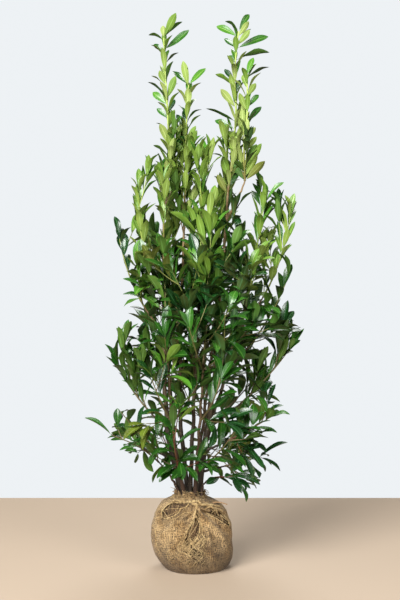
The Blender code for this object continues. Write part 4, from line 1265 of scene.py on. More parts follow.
# Their leaves, in millimetres: height where the stalk starts, place across and height of the tip, then the colour and
# the side that shows to the front, 1 for the upper, -1 for the under and 0 for the edge
LEADER_LEAVES = {
    "foliage_left_leader": (
        (1909, -54, 1991, FRESH, -1), (1907, -103, 1950, LIME, -1), (1905, -36, 1971, DARK, 0),
        (1869, -7, 1940, MID, 1), (1901, -152, 1932, MID, 0), (1854, -138, 1891, DARK, 1), (1814, -52, 1863, DEEP, 0),
        (1740, -116, 1787, SPRING, -1), (1681, -57, 1767, FRESH, -1), (1681, -150, 1758, DEEP, 0),
        (1666, -143, 1719, FRESH, 1), (1611, -125, 1658, MID, 1), (1634, -60, 1691, DEEP, 1),
        (1521, -111, 1597, LIME, -1), (1501, -25, 1562, DARK, 1), (1477, -133, 1528, MID, 0),
    ),
    "foliage_left_second": (
        (1736, -70, 1797, DARK, 1), (1732, -32, 1822, SPRING, -1), (1738, 53, 1808, FRESH, 1),
        (1650, -11, 1728, LIME, -1), (1583, -57, 1640, DEEP, 1), (1591, -27, 1658, DEEP, 1),
        (1603, 28, 1667, DARK, 0), (1532, 16, 1591, FRESH, -1), (1493, -3, 1571, SPRING, -1),
        (1462, -50, 1532, FRESH, -1), (1458, 19, 1517, MID, -1),
    ),
    "foliage_right_leader": (
        (1936, 210, 2002, MID, 1), (1924, 131, 1981, DARK, 0), (1912, 89, 1961, FRESH, 1),
        (1909, 207, 1963, LIME, -1), (1881, 210, 1932, SPRING, -1), (1868, 283, 1928, MID, 1),
        (1865, 119, 1910, DARK, 1), (1829, 280, 1868, DARK, 0), (1813, 135, 1848, MID, 1), (1748, 119, 1800, DEEP, 1),
        (1730, 89, 1781, FRESH, 0), (1650, 105, 1722, LIME, -1), (1713, 139, 1775, SPRING, -1),
        (1709, 175, 1761, DARK, 1), (1579, 202, 1650, LIME, -1), (1578, 83, 1618, MID, 1), (1603, 54, 1659, DARK, 0),
        (1489, 113, 1562, DARK, 1), (1473, 153, 1571, SPRING, -1), (1540, 122, 1571, FRESH, -1),
        (1400, 112, 1478, FRESH, -1), (1365, 172, 1440, MID, 1), (1350, 92, 1412, OLIVE, -1),
        (1430, 178, 1515, SPRING, -1),
    ),
    "foliage_leader_twin": (
        (1766, 221, 1836, FRESH, 1), (1755, 276, 1802, DEEP, 0), (1687, 229, 1733, SPRING, -1),
        (1645, 242, 1700, MID, 1), (1593, 252, 1658, DARK, 1), (1531, 229, 1576, LIME, -1),
        (1491, 233, 1542, SPRING, -1), (1442, 233, 1518, MID, -1), (1540, 200, 1603, LIME, -1),
        (1634, 169, 1697, SPRING, -1), (1390, 264, 1460, OLIVE, -1), (1405, 236, 1482, SPRING, -1),
        (1385, 216, 1470, MID, 1), (1370, 152, 1448, DARK, -1), (1425, 250, 1520, FRESH, -1),
    ),
}

# Leaf tips that stand farthest forward, where the solids' do
FORWARD = np.array((
    (3, -301, 679), (-27, -283, 978), (134, -272, 799), (-58, -269, 616), (-106, -243, 1157),
)) / 1000
# Leaf tips that stand out of the outline, by place across and height
OUTLYING = np.array((
    (-179, 1435), (-193, 1388), (-208, 1349), (-273, 1273), (-240, 1204), (-247, 1042), (-247, 995), (-251, 948),
    (-233, 897), (-236, 854), (-305, 811), (-305, 764), (-258, 706), (-215, 630), (-265, 573), (-381, 547),
    (-305, 475), (-262, 425), (330, 1392), (370, 1349), (305, 1313), (312, 1248), (377, 1244), (298, 1190),
    (359, 1168), (356, 1096), (305, 980), (348, 962), (352, 901), (410, 858), (388, 825), (359, 796), (287, 778),
    (276, 731), (298, 663), (244, 627), (327, 598), (356, 569), (312, 490), (345, 457), (327, 349), (258, 345),
    (222, 331), (208, 233),
)) / 1000


@dataclass
class LeafShape:
    """One shape of blade, a unit long with its root at the origin, its tip along +Y and its upper side to +Z."""

    fold: float  # degrees by which each half is raised
    curl: float  # degrees by which the tip turns down
    twist: float
    wave: float
    sway: float
    stalk: float = 0.09
    keel: float = 0.0065
    stations: tuple = (0.0, 0.1, 0.24, 0.4, 0.56, 0.7, 0.83, 0.93, 1.0)
    profile: tuple = (0.06, 0.33, 0.62, 0.86, 0.99, 0.97, 0.74, 0.38, 0.0)

    def build(self, name: str) -> Object:
        """Makes the blade with its stalk: two skins that share their margin.

        Args:
            name: The object's name.

        Returns:
            The object, not linked to the scene.
        """
        bm = bmesh.new()
        bm.loops.layers.uv.new("UVMap")
        upper = bm.faces.layers.bool.new("upper")
        rows, under = [], []
        place, pitch = Vector((0, self.stalk, 0)), radians(self.curl * 0.3)
        for i, (t, share) in enumerate(zip(self.stations, self.profile)):
            if i:
                step = (t - self.stations[i - 1]) * (1 - self.stalk)
                pitch -= radians(self.curl) * step * (0.6 + 1.2 * t)
                place = place + Vector((sin(self.sway * t) * step, cos(pitch) * step, sin(pitch) * step))
            if share == 0:
                tip = bm.verts.new(place)
                rows.append([tip] * 5)
                under.append(tip)
                continue
            lean = radians(self.twist) * (t - 0.3)
            row = []
            for u in (-1, -0.5, 0, 0.5, 1):
                across = u * share * 0.5
                lift = (abs(across) * tan(radians(self.fold)) * (1.25 - 0.55 * abs(u))
                        + self.wave * u * u * share * sin(9 * t + (2.4 if u > 0 else 0.6)))
                row.append(bm.verts.new(place + Vector((across * cos(lean), 0, (across * sin(lean) + lift) * 0.3))))
            rows.append(row)
            under.append(bm.verts.new(place - Vector((0, 0, self.keel))))
        for i, (low, high) in enumerate(zip(rows, rows[1:])):
            strips = [((low[k], low[k + 1], high[k + 1], high[k]), k / 4, (k + 1) / 4, True) for k in range(4)]
            strips += [((under[i], low[k], high[k], under[i + 1]), 0.5, k / 4, False) for k in (0, 4)]
            for corners, left, right, is_upper in strips:
                self.face(bm, corners, ((left, i), (right, i), (right, i + 1), (left, i + 1)), is_upper)
        rings = [[bm.verts.new((sin(a) * size, y, cos(a) * size * 0.9 - 0.004)) for a in (0.0, 2.1, 4.2)]
                 for y, size in ((0.0, 0.013), (self.stalk * 1.3, 0.0085))]
        low, high = rings
        walls = [(low[k], low[k - 2], high[k - 2], high[k]) for k in range(3)]
        for corners in ((under[0], *rows[0]), *walls, low[::-1], high):
            self.face(bm, corners, ((0.5, 0),) * len(corners), False)
        bmesh.ops.recalc_face_normals(bm, faces=bm.faces)
        for edge in bm.edges:
            edge.smooth = len({face[upper] for face in edge.link_faces}) == 1
        return bpy.data.objects.new(name, smooth_mesh(name, bm))

    def face(self, bm: bmesh.types.BMesh, corners: Sequence, places: Sequence[tuple], is_upper: bool) -> None:
        """Adds a face with its place on the blade's map. Corners that meet at the tip count once.

        Args:
            bm: The blade.
            corners: The face's corners.
            places: For each corner the share across and the number of the station.
            is_upper: True on the upper side.
        """
        face = bm.faces.new(list(dict.fromkeys(corners)))
        face[bm.faces.layers.bool["upper"]] = is_upper
        for loop, (across, station) in zip(face.loops, places):
            is_tip = station == len(self.stations) - 1
            loop[bm.loops.layers.uv["UVMap"]].uv = (0.5 if is_tip else across, self.stations[station])


# Of each shape the fold, the curl, the twist, the wave and the sway
LEAF_SHAPES = tuple(LeafShape(*bends) for bends in (
    (22, 20, 8, 0.03, 0.05), (30, 35, -12, 0.05, -0.08), (14, 12, 20, 0.04, 0.1), (26, 50, 5, 0.06, 0.00),
    (18, 28, -25, 0.05, 0.12), (36, 24, 14, 0.03, -0.12), (12, 42, -6, 0.07, 0.06), (28, 8, 30, 0.04, -0.05),
    (20, 60, -16, 0.05, 0.09), (32, 16, -34, 0.06, 0.02), (16, -10, 10, 0.05, -0.1), (24, 32, 24, 0.07, 0.14)))
STRAIGHT_SHAPES = (0, 2, 7, 9, 10)


@dataclass
class Leaf:
    """One leaf: where its stalk starts, its direction, its upper side, its size, shape and colour."""

    root: np.ndarray
    way: np.ndarray
    up: np.ndarray
    length: float
    width: float
    shape: int
    tone: Tone
    is_new: bool
    node: str

    def tip(self) -> np.ndarray:
        """Where the leaf ends."""
        return self.root + self.way * self.length

    def turn_to(self, tip: np.ndarray) -> None:
        """Turns the leaf about its foot and sizes it, so that it ends at a tip.

        Args:
            tip: Where it is to end.
        """
        sky = np.array((0, -0.35, 1.0))
        self.length = float(np.linalg.norm(tip - self.root))
        self.way = unit(tip - self.root)
        self.up = square_to(sky, self.way)


class LeafMaker(Maker):
    """Sets one of the leaf shapes on each point."""

    def __init__(self) -> None:
        """Builds the leaf shapes and the tree once."""
        super().__init__("leaves_on_points", {"Points": "Geometry", "Leaf shapes": "Collection",
                                              "Upper skin": "Material", "Under skin": "Material"})
        self.shapes = bpy.data.collections.new("leaf_shapes")
        for i, shape in enumerate(LEAF_SHAPES):
            self.shapes.objects.link(shape.build(f"leaf_shape_{i:02d}"))
        given, add = self.given, self.add
        shapes = add("GeometryNodeCollectionInfo", {0: given["Leaf shapes"], "Separate Children": True,
                                                    "Reset Children": True})
        turn, size, shape, upper = (
            add("GeometryNodeInputNamedAttribute", {"Name": label}, data_type=kind)
            for label, kind in (("turn", "FLOAT_VECTOR"), ("size", "FLOAT_VECTOR"), ("shape", "INT"),
                                ("upper", "BOOLEAN")))
        rotation = add("FunctionNodeEulerToRotation", {0: turn})
        leaves = add("GeometryNodeInstanceOnPoints", {
            "Points": given["Points"], "Instance": shapes, "Pick Instance": True, "Instance Index": shape,
            "Rotation": rotation, "Scale": size})
        real = add("GeometryNodeRealizeInstances", {0: leaves})
        under = add("GeometryNodeSetMaterial", {0: real, "Material": given["Under skin"]})
        both = add("GeometryNodeSetMaterial", {0: under, "Selection": upper, "Material": given["Upper skin"]})
        add("NodeGroupOutput", {0: both})

    def make(self, name: str, leaves: Sequence[Leaf], tone: Tone) -> Object:
        """Makes all leaves of one colour as one plain mesh.

        Args:
            name: The piece's name.
            leaves: The leaves.
            tone: Their colour.

        Returns:
            The piece.
        """
        turns, sizes = [], []
        for leaf in leaves:
            beside = unit(np.cross(leaf.way, leaf.up))
            axes = np.stack((beside, leaf.way, np.cross(beside, leaf.way)), axis=1)
            turns += Matrix(axes.tolist()).to_euler()[:]
            sizes += [leaf.width, leaf.length, leaf.length]
        values = {"turn": ("FLOAT_VECTOR", turns), "size": ("FLOAT_VECTOR", sizes),
                  "shape": ("INT", [leaf.shape for leaf in leaves])}
        return self.run(name, [tuple(leaf.root) for leaf in leaves], [], values,
                        {"Leaf shapes": self.shapes, "Upper skin": tone.upper().material(),
                         "Under skin": tone.under().material()})

    def clear(self) -> None:
        """Removes the leaf shapes, which aren't part of the plant."""
        for item in list(self.shapes.objects):
            bpy.data.objects.remove(item, do_unlink=True)
        bpy.data.collections.remove(self.shapes)


@dataclass
class Mass:
    """One mass of foliage: the node that it stands for, its main twig and the way it grows."""

    node: str
    path: np.ndarray
    habit: Habit
    droop: float
    rng: Random
    slack: float = 0.0  # metres by which it may stand out of the crown's outline


@dataclass
class Crown:
    """All the wood and foliage, grown from the stems."""

    tubes: TubeMaker
    ground: float = 0.243
    stem_points: int = 120
    tip_radius: float = 0.0034
    twig_tip: float = 0.0014
    side_base: float = 0.0021
    bough_radius: float = 0.0054
    leader_radius: float = 0.004
    leader_tip: float = 0.0024
    leader_spacing: float = 0.024
    leader_length: tuple = (0.066, 0.098)
    leader_width: tuple = (0.018, 0.025)
    leader_low: float = 1.47  # height up to which a leader has side twigs
    leader_side_spacing: float = 0.036
    leader_side_reach: tuple = (0.07, 0.12)
    shoots_from: float = 0.36
    hanging_to: float = 0.52
    hanging_gap: float = 2.0  # times the shoots' spacing
    shoots_to: float = 1.05
    leader_shoots_to: float = 1.33
    shoot_spacing: float = 0.09
    shoot_reach: tuple = (0.1, 0.17)
    inner_shade: float = 0.2  # metres by which the colour of a shoot is that of lower foliage
    tuft: tuple = (1.0, 0.92, 0.8, 0.6)  # sizes of the leaves at a twig's tip
    fine_turn: float = 6.28  # radians, about once round
    fine_reach: float = 0.06
    bough_slack: float = 0.04
    leaf_slack: tuple = (-0.055, 0.014)  # how far inside or outside the outline a leaf may end
    twig_slack: float = -0.045
    leaf_tries: int = 7
    twig_tries: int = 8
    last_leaf: float = 0.09  # metres of a bough's reach that are its last leaf
    lowest: float = 0.285  # height that no leaf or twig ends below
    thick_stem: float = 0.0078  # radius from which a stem has old bark
    upright_from: float = 0.95  # heights between which twigs and leaves close up, and by what share
    upright_over: float = 0.4
    upright_share: float = 0.42
    turned: tuple = (0.055, 0.15)  # lengths of the leaves that are turned to a tip
    turned_best: float = 0.09
    flare: float = 0.35
    flare_height: float = 0.035
    stems: list = field(default_factory=list)
    boughs: list = field(default_factory=list)
    hosts: list = field(default_factory=list)
    twigs: dict = field(default_factory=dict)
    leaves: list = field(default_factory=list)

    def limb(self, path: np.ndarray, bare: float, radius: float, flare: bool) -> Wire:
        """The bare part of a limb.

        Args:
            path: The limb's whole path.
            bare: Share of it that is bare.
            radius: At its foot.
            flare: True where it widens at its foot.

        Returns:
            Its path and radii.
        """
        count = self.stem_points
        wood = resample(path, 0, bare, count)
        share = np.linspace(0, 1, count)
        radii = radius + (min(self.tip_radius * 1.12, radius * 0.5) - radius) * share ** 1.1
        if flare:
            radii *= 1 + self.flare * np.exp(-(wood[:, 2] - wood[0, 2]) / self.flare_height)
        steps = np.arange(count)
        sway = 0.0022 * np.sin(pi * share)
        wood = wood + np.stack((np.sin(steps * 0.31 + radius * 900), np.cos(steps * 0.23 + radius * 500),
                                np.zeros(count)), axis=1) * sway[:, None]
        radii = radii * (1 + 0.07 * np.maximum(0, np.sin(steps * 0.9 + radius * 700)) ** 6)
        return Wire(wood, radii)

    def grow_wood(self) -> list[Mass]:
        """Grows the stems, the boughs and the main twigs.

        Returns:
            The masses that go on from them.
        """
        masses, paths = [], {}
        for i, stem in enumerate(STEMS):
            path = curve_through(((*stem.foot, self.ground), stem.low, stem.high, stem.tip), self.stem_points, True)
            paths[stem.name] = path
            self.stems.append(self.limb(path, stem.leafy_from, stem.radius, True))
            masses.append(Mass("foliage_" + stem.name, resample(path, stem.leafy_from, 1, 40), stem.habit, stem.droop,
                               Random(SEED + i), self.bough_slack if stem.habit is SKIRT else 0.0))
            self.hosts.append((stem, path))
        for i, bough in enumerate(BOUGHS):
            host = paths[bough.stem]
            spot = host[nearest(host, bough.height)]
            aim = np.array(bough.aim)
            out = unit(np.array((aim[0] - spot[0], aim[1] - spot[1], 0.0)))
            way = unit(aim - spot) * 0.8 + out * 0.5 + np.array((0, 0, 0.1))
            path = bent_path(spot, way, aim)
            path = resample(path, 0, 1 - self.last_leaf / length_of(path), 60)
            self.boughs.append(self.limb(path, bough.bare, self.bough_radius, False))
            masses.append(Mass("foliage_" + bough.name, resample(path, bough.bare, 1, 40), bough.habit, bough.droop,
                               Random(SEED + 100 + i), self.bough_slack))
        sprays = [(habit, droop, *np.array(places) / 10000) for habit, droop, *level in SPRAYS for places in level]
        for i, (habit, droop, foot, bend, end) in enumerate(sprays):
            masses.append(Mass(f"foliage_spray_{i + 1:02d}", bent_path(foot, bend - foot, end), habit, droop,
                               Random(SEED + 201 + i)))
        for mass in masses:
            if mass.node in LEADER_PATHS:
                mass.path = curve_through((tuple(mass.path[0]), *LEADER_PATHS[mass.node]), 60)
        return masses

    def leaf_way(self, axis: np.ndarray, turn: float, angle: float, droop: float) -> tuple:
        """The direction and upper side of a leaf that leaves its twig at a turn round it, as in the source.

        Args:
            axis: The twig's direction.
            turn: In radians round it.
            angle: In radians between them.
            droop: How much it hangs.

        Returns:
            The direction and the upper side.
        """
        reference = np.array((0.0, 0.0, 1.0)) if abs(axis[2]) < 0.98 else np.array((0.3, 1.0, 0.0))
        side = square_to(reference, axis)
        out = side * cos(turn) + np.cross(axis, side) * sin(turn)
        way = unit(axis * cos(angle) + out * sin(angle) - np.array((0, 0, droop)))
        return way, square_to((axis + np.array((0, 0, 1.0))) * 0.8, way)

    def tone_for(self, mass: Mass, height: float, young: float) -> Tone:
        """Deals a colour to a spray by its height and age.

        Args:
            mass: The mass that it belongs to.
            height: Of the spray.
            young: From 0 at a main twig's foot to 1 at its tip.

        Returns:
            The colour.
        """
        if mass.habit.is_new:
            weights = (3.0, 4.0, 2.8, 1.0, 0.5, 0.3, 0.1)
        else:
            high = clamp((height - 0.95) / 0.45)
            light = 1.2 if mass.habit.is_lime else 0.0
            weights = (0.4 * high, 2.5 * high + light, 0.4 + 3.5 * high + young + light, 3.0, 3.6 - 1.8 * high,
                       2.2 - 1.4 * high, 0.45)
        return mass.rng.choices((LIME, SPRING, FRESH, MID, DARK, DEEP, OLIVE), weights)[0]

    def in_crown(self, point: np.ndarray, slack: float) -> bool:
        """True if a point is inside the crown's outline."""
        left, right = (float(np.interp(point[2], OUTLINE[:, 0], OUTLINE[:, k])) + slack for k in (1, 2))
        half = (left + right) / 2
        seen = CENTRE + (point[0] - CENTRE) * (1 - point[1] / VIEW_DISTANCE)
        return -left < seen < right and abs(point[1]) < half * DEPTH_SHARE and point[2] > self.lowest

    def upright(self, height: float) -> float:
        """How far twigs and leaves open at a height, beside the foot of the crown."""
        return 1 - self.upright_share * clamp((height - self.upright_from) / self.upright_over)

    def leaf_on(self, mass: Mass, twig: np.ndarray, share: float, turn: float, tone: Tone, size: float) -> bool:
        """Puts one leaf on a twig, turned until it ends inside the crown.

        Args:
            mass: The mass that it belongs to.
            twig: The twig's path.
            share: How far along the twig.
            turn: In radians round the twig.
            tone: Its colour.
            size: Beside a full leaf.

        Returns:
            True if there was room for it.
        """
        habit, rng = mass.habit, mass.rng
        k = min(int(share * (len(twig) - 1)), len(twig) - 2)
        root = twig[k] + (twig[k + 1] - twig[k]) * (share * (len(twig) - 1) - k)
        axis = unit(twig[k + 1] - twig[k])
        length = rng.uniform(*habit.leaf_length) * size
        width = rng.uniform(*habit.leaf_width) * (0.35 + 0.65 * size) * (0.62 + 0.38 * self.upright(root[2]))
        shape = rng.randrange(len(LEAF_SHAPES))
        for attempt in range(self.leaf_tries):
            angle = radians(habit.open_foot + (habit.open_tip - habit.open_foot) * share + rng.uniform(-11, 11))
            angle *= self.upright(root[2])
            step = ((attempt + 1) // 2) * (1 if attempt % 2 else -1) * 0.5
            way, up = self.leaf_way(axis, turn + step, angle, mass.droop * rng.uniform(0.5, 1.3))
            up = unit(up + np.array([rng.uniform(-0.28, 0.28) for _ in range(3)]))
            leaf = Leaf(root, way, up, length, width, shape, tone, habit.is_new, mass.node)
            if self.in_crown(leaf.tip(), mass.slack + rng.uniform(*self.leaf_slack)):
                self.leaves.append(leaf)
                return True
            length *= 0.95
        return False

    def leafy(self, mass: Mass, twig: np.ndarray, first: float, tone: Tone) -> float:
        """Puts leaves along a twig, and a tuft of smaller ones at its tip.

        Args:
            mass: The mass that the twig belongs to.
            twig: The twig's path.
            first: Share of the twig at which its leaves start.
            tone: The leaves' colour.

        Returns:
            Share of the twig at which its last leaf is, or 0 where it has none.
        """
        rng = mass.rng
        span = length_of(twig) * (1 - first)
        count = max(2, round(span / mass.habit.spacing))
        turn, reach = rng.uniform(0, tau), 0.0
        for i in range(count):
            share = first + (1 - first) * max(0.0, (i + rng.uniform(-0.2, 0.2)) / count) ** 0.75
            turn += GOLDEN_ANGLE + rng.uniform(-0.2, 0.2)
            if self.leaf_on(mass, twig, min(max(share, 0), 0.97), turn, tone, rng.uniform(0.88, 1.05)):
                reach = share
        for size in self.tuft:
            turn += GOLDEN_ANGLE
            if self.leaf_on(mass, twig, 0.985, turn, tone, size * rng.uniform(0.9, 1.05)):
                reach = 1.0
        return reach

    def keep_twig(self, kind: Bark, path: np.ndarray, foot: float, tip: float) -> None:
        """Keeps a twig's wood, a little thicker where each leaf leaves it."""
        count = max(8, int(length_of(path) / 0.006))
        even = resample(path, 0, 1, count)
        swell = 1 + 0.22 * (np.arange(count) % 4 == 0)
        self.twigs.setdefault(kind, []).append(Wire(even, np.linspace(foot, tip, count) * swell))

    def grow_mass(self, mass: Mass) -> None:
        """Grows side twigs, finer twigs and leaves on one main twig."""
        rng, habit, main = mass.rng, mass.habit, mass.path
        kind = LIME_BARK if habit.is_lime or habit.is_new else YOUNG_BARK
        if habit is SKIRT and rng.random() < 0.6:
            kind = RED_BARK
        if mass.node in LEADER_LEAVES:
            self.keep_twig(GREEN_BARK, main, self.leader_radius, self.leader_tip)
            self.place_leaves(mass)
            self.cover_leader(mass)
            return
        self.keep_twig(kind, main, self.tip_radius, self.twig_tip)
        self.leafy(mass, main, 0.06, self.tone_for(mass, main[-1][2], 1.0))
        count = max(1, round((length_of(main) - 0.03) / habit.twig_spacing))
        turn = rng.uniform(0, tau)
        for i in range(count):
            share = 0.05 + 0.75 * i / max(count - 1, 1)
            turn += GOLDEN_ANGLE
            side = self.side_twig(mass, main, share, turn, habit.twig_reach * (1 - 0.3 * share))
            if side is None:
                continue
            tone = self.tone_for(mass, side[-1][2], share)
            self.clothe(mass, side, 0.2, tone, kind, self.side_base)
            if rng.random() < habit.fine_share:
                fine = self.side_twig(mass, side, rng.uniform(0.3, 0.55), rng.uniform(0, self.fine_turn),
                                      self.fine_reach)
                if fine is not None:
                    self.clothe(mass, fine, 0.3, tone, kind, self.twig_tip)

    def clothe(self, mass: Mass, twig: np.ndarray, first: float, tone: Tone, kind: Bark, foot: float) -> None:
        """Puts leaves on a side twig, and keeps its wood only as far as the last of them.

        Args:
            mass: The mass that it belongs to.
            twig: The twig's path.
            first: Share of it at which its leaves start.
            tone: The leaves' colour.
            kind: Its bark.
            foot: Its radius at its foot.
        """
        reach = self.leafy(mass, twig, first, tone)
        if reach > 0:
            self.keep_twig(kind, resample(twig, 0, min(1.0, reach + 0.02), 12), foot, self.twig_tip * 0.85)

    def place_leaves(self, mass: Mass) -> None:
        """Sets a leader's leaves that have a place of their own.

        Args:
            mass: The leader's mass.
        """
        rng = mass.rng
        for *places, tone, side in LEADER_LEAVES[mass.node]:
            height, across, tip_height = (place / 1000 for place in places)
            root = mass.path[nearest(mass.path, height)]
            flat = hypot(across - root[0], tip_height - root[2])
            tip = np.array((across, root[1] + side * flat * rng.uniform(0.22, 0.34), tip_height))
            way = unit(tip - root)
            inward = (-0.9 * np.sign(across - root[0]), 0.25, 0.3)
            facing = np.array((rng.uniform(-0.25, 0.25), -side, 0.3) if side else inward)
            length = float(np.linalg.norm(tip - root))
            width = min(max(length * 0.28, 0.019), 0.027) * rng.uniform(0.94, 1.15)
            shape = rng.choice(STRAIGHT_SHAPES) if side else rng.randrange(len(LEAF_SHAPES))
            self.leaves.append(Leaf(root, way, square_to(facing, way), length, width, shape, tone, True,
                                    mass.node))

    def cover_leader(self, mass: Mass) -> None:
        """Grows the leaves of a leader that point to the front and the back of it.

        Args:
            mass: The leader's mass.
        """
        main, rng = mass.path, mass.rng
        turn = rng.uniform(0, tau)
        count = round(length_of(main) / self.leader_spacing)
        for i in range(count):
            share = 0.04 + 0.94 * i / count
            k = int(share * (len(main) - 1))
            axis = unit(main[k + 1] - main[k])
            turn += GOLDEN_ANGLE + rng.uniform(-0.3, 0.3)
            angle = radians(rng.uniform(34, 54) if main[k][2] < self.leader_low else rng.uniform(16, 32))
            way, up = self.leaf_way(axis, turn, angle, 0.0)
            up = up + np.array((rng.uniform(-0.35, 0.35), rng.uniform(-0.2, 0.2), 0))
            tone = self.tone_for(mass, main[k][2], share)
            self.leaves.append(Leaf(main[k], way, square_to(up, way), rng.uniform(*self.leader_length),
                                    rng.uniform(*self.leader_width), rng.randrange(len(LEAF_SHAPES)), tone, True,
                                    mass.node))
        height = main[0][2]
        while height < self.leader_low:
            k = nearest(main, height)
            turn += GOLDEN_ANGLE
            side = self.side_twig(mass, main, k / (len(main) - 1), turn, rng.uniform(*self.leader_side_reach))
            if side is not None:
                self.clothe(mass, side, 0.15, self.tone_for(mass, height, 0.5), GREEN_BARK, self.side_base)
            height += self.leader_side_spacing

    def grow_shoots(self) -> None:
        """Grows short leafy shoots off the stems themselves, inside the crown."""
        for number, (stem, path) in enumerate(self.hosts):
            if stem.habit is SKIRT:
                continue
            rng = Random(SEED + 300 + number)
            hanging, inner, upper = (Mass("foliage_" + stem.name, path, habit, droop, rng)
                                     for habit, droop in ((SKIRT, 0.45), (BUSHY, 0.12), (LIGHT, 0.0)))
            height, turn = self.shoots_from, rng.uniform(0, tau)
            top = self.leader_shoots_to if stem.habit is SHOOT else self.shoots_to
            while height < min(top, path[-1][2] - 0.15):
                mass = hanging if height < self.hanging_to else inner if height < self.shoots_to else upper
                k = nearest(path, height)
                turn += GOLDEN_ANGLE
                side = self.side_twig(mass, path, k / (len(path) - 1), turn, rng.uniform(*self.shoot_reach))
                if side is not None:
                    shade = 0.0 if mass is upper else self.inner_shade
                    tone = self.tone_for(mass, height - shade, 0.0)
                    self.clothe(mass, side, 0.25, tone, YOUNG_BARK, self.side_base)
                height += self.shoot_spacing * rng.uniform(0.8, 1.2) * (self.hanging_gap if mass is hanging else 1)

    def side_twig(self, mass: Mass, host: np.ndarray, share: float, turn: float, reach: float) -> np.ndarray | None:
        """The path of a twig off another one, inside the crown.

        Args:
            mass: The mass that it belongs to.
            host: The twig that bears it.
            share: How far along that twig.
            turn: In radians round it.
            reach: Its length.

        Returns:
            The path, or None where there is no room.
        """
        rng = mass.rng
        k = min(int(share * (len(host) - 1)), len(host) - 2)
        if rng.random() > np.interp(host[k][2], GROWTH[:, 0], GROWTH[:, 1]):
            return None
        axis = unit(host[k + 1] - host[k])
        for attempt in range(self.twig_tries):
            angle = radians(mass.habit.twig_open + rng.uniform(-8, 8)) * self.upright(host[k][2])
            way, _ = self.leaf_way(axis, turn + attempt * 0.9, angle, mass.droop / 2)
            span = reach * rng.uniform(0.8, 1.15) * (1 if attempt < 5 else 0.7)
            end = host[k] + way * span + np.array((0, 0, span * (0.25 - mass.droop / 2)))
            if self.in_crown(end, mass.slack + self.twig_slack):
                return bent_path(host[k], way, end, 0.5, 10)
        return None

    def reach_out(self) -> None:
        """Turns the nearest leaf to each tip that stands out to a side or to the front, so that it ends there."""
        used = set()
        for across, height in OUTLYING:
            costs = {}
            for i, leaf in enumerate(self.leaves):
                away = hypot(across - leaf.root[0], height - leaf.root[2])
                if i not in used and self.turned[0] < away < self.turned[1]:
                    way = unit(np.array((across, leaf.root[1], height)) - leaf.root)
                    costs[i] = (abs(away - self.turned_best) + 0.06 * (1 - way.dot(leaf.way))
                                + 0.15 * abs(leaf.root[1]))
            if not costs:
                continue
            found = min(costs, key=costs.get)
            used.add(found)
            leaf = self.leaves[found]
            scale = 1 + leaf.root[1] / VIEW_DISTANCE
            leaf.turn_to(np.array((CENTRE + (across - CENTRE) * scale, leaf.root[1],
                                   EYE_HEIGHT + (height - EYE_HEIGHT) * scale)))
        for aim in FORWARD:
            costs = [abs(np.linalg.norm(aim - leaf.root) - self.turned_best)
                     + 0.06 * (1 - unit(aim - leaf.root).dot(leaf.way))
                     + (0 if leaf.root[1] > aim[1] + 0.05 and i not in used else 1)
                     for i, leaf in enumerate(self.leaves)]
            found = int(np.argmin(costs))
            used.add(found)
            self.leaves[found].turn_to(aim)

    def build(self) -> None:
        """Grows the plant and makes its pieces."""
        masses = self.grow_wood()
        for mass in masses:
            self.grow_mass(mass)
        self.grow_shoots()
        self.reach_out()
        foliage = [mass.node for mass in masses]
        for name, finish, thick in (("stems", OLD_BARK, True), ("stems_thin", THIN_BARK, False)):
            chosen = [i for i, stem in enumerate(STEMS) if (stem.radius > self.thick_stem) is thick]
            settle(self.tubes.make(name, [self.stems[i] for i in chosen], finish, 12, 0.01, 0.0014, 70.0),
                   ["stem_" + STEMS[i].name for i in chosen])
        settle(self.tubes.make("boughs", self.boughs, OLD_BARK, 8, 0.01, 0.0007, 90.0),
               ["bough_" + bough.name for bough in BOUGHS])
        for kind, wires in self.twigs.items():
            settle(self.tubes.make(kind.name.replace("bark", "twigs"), wires, kind, 5, 0.012, 0.0003, 150.0),
                   foliage)
        maker = LeafMaker()
        for is_new, prefix, slot in ((True, "leaves_new_", "new_leaves"), (False, "leaves_", "leaves")):
            for tone in Tone:
                chosen = [leaf for leaf in self.leaves if leaf.tone is tone and leaf.is_new is is_new]
                if chosen:
                    piece = maker.make(prefix + tone.name.lower(), chosen, tone)
                    settle(piece, sorted({leaf.node for leaf in chosen}))
        maker.clear()
        LOG.info("%d leaves", len(self.leaves))


# Studio


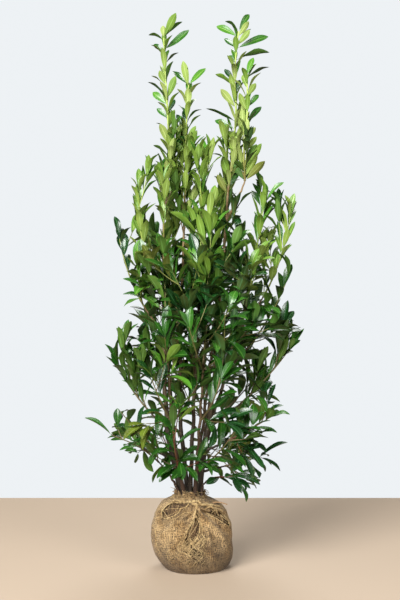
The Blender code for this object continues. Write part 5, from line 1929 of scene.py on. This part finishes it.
@dataclass
class Studio:
    """The plain pale floor, the soft light and the camera at the photograph's viewing angle."""

    camera_place: tuple = (CENTRE, -VIEW_DISTANCE, EYE_HEIGHT)
    lens: float = 63.2
    sensor: float = 36.0
    floor_half: float = 1.32
    sky: str = "F1F5F8"
    sky_seen: float = 0.97
    sky_light: float = 0.085
    sky_tint: str = "FFF1D4"  # of the light that it casts, warmed by the floor and walls of a studio

    def lay_floor(self) -> None:
        """A plain board under the plant."""
        half = self.floor_half
        mesh = bpy.data.meshes.new("floor")
        corners = [(x, y, z) for z in (-0.02, 0.0) for x, y in ((-half, -half), (half, -half), (half, half),
                                                                 (-half, half))]
        faces = [(3, 2, 1, 0), (4, 5, 6, 7), (0, 1, 5, 4), (1, 2, 6, 5), (2, 3, 7, 6), (3, 0, 4, 7)]
        mesh.from_pydata(corners, [], faces)
        mesh.materials.append(FLOOR_PAINT.material())
        new_object("floor", mesh)

    def hang_light(self, name: str, place: tuple, size: float, power: float) -> None:
        """A soft square light that looks at the plant.

        Args:
            name: The light's name.
            place: Where it hangs.
            size: Its side in metres.
            power: In watts.
        """
        lamp = bpy.data.lights.new(name, "AREA")
        lamp.size = size
        lamp.energy = power
        made = new_object(name, lamp)
        made.location = place
        made.rotation_euler = (Vector((0, 0, 1.0)) - Vector(place)).to_track_quat("-Z", "Y").to_euler()

    def build(self) -> None:
        """Sets up the floor, the sky, the lights and the camera."""
        scene = bpy.context.scene
        self.lay_floor()
        world = bpy.data.worlds.new("studio")
        scene.world = world
        world.use_nodes = True
        tree = world.node_tree
        is_seen = add_node(tree, "LightPath").outputs["Is Camera Ray"]
        colour = add_node(tree, "Mix", {0: is_seen, 6: self.sky_tint, 7: self.sky}, data_type="RGBA").outputs[2]
        strength = add_node(tree, "MapRange", {0: is_seen, 3: self.sky_light, 4: self.sky_seen})
        set_inputs(tree.nodes["Background"], {"Color": colour, "Strength": strength})
        self.hang_light("key", (-3.2, -6.4, 4.8), 4.4, 1600)
        self.hang_light("fill", (4.8, -5.8, 2.4), 4.2, 410)
        self.hang_light("rim", (0.5, 4.4, 6.0), 3.6, 260)
        lens = bpy.data.cameras.new("camera")
        lens.sensor_width = self.sensor
        lens.lens = self.lens
        camera = new_object("camera", lens)
        camera.location = self.camera_place
        camera.rotation_euler = Euler((pi / 2, 0, 0))
        scene.camera = camera
        scene.view_settings.view_transform = "Standard"


def main() -> None:
    """Builds the studio, the root ball and the plant in turn."""
    logging.basicConfig(level=logging.INFO, format="%(message)s")
    Studio().build()
    tubes = TubeMaker()
    RootBall(tubes).build()
    Crown(tubes).build()
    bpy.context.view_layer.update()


if __name__ == "__main__":
    main()
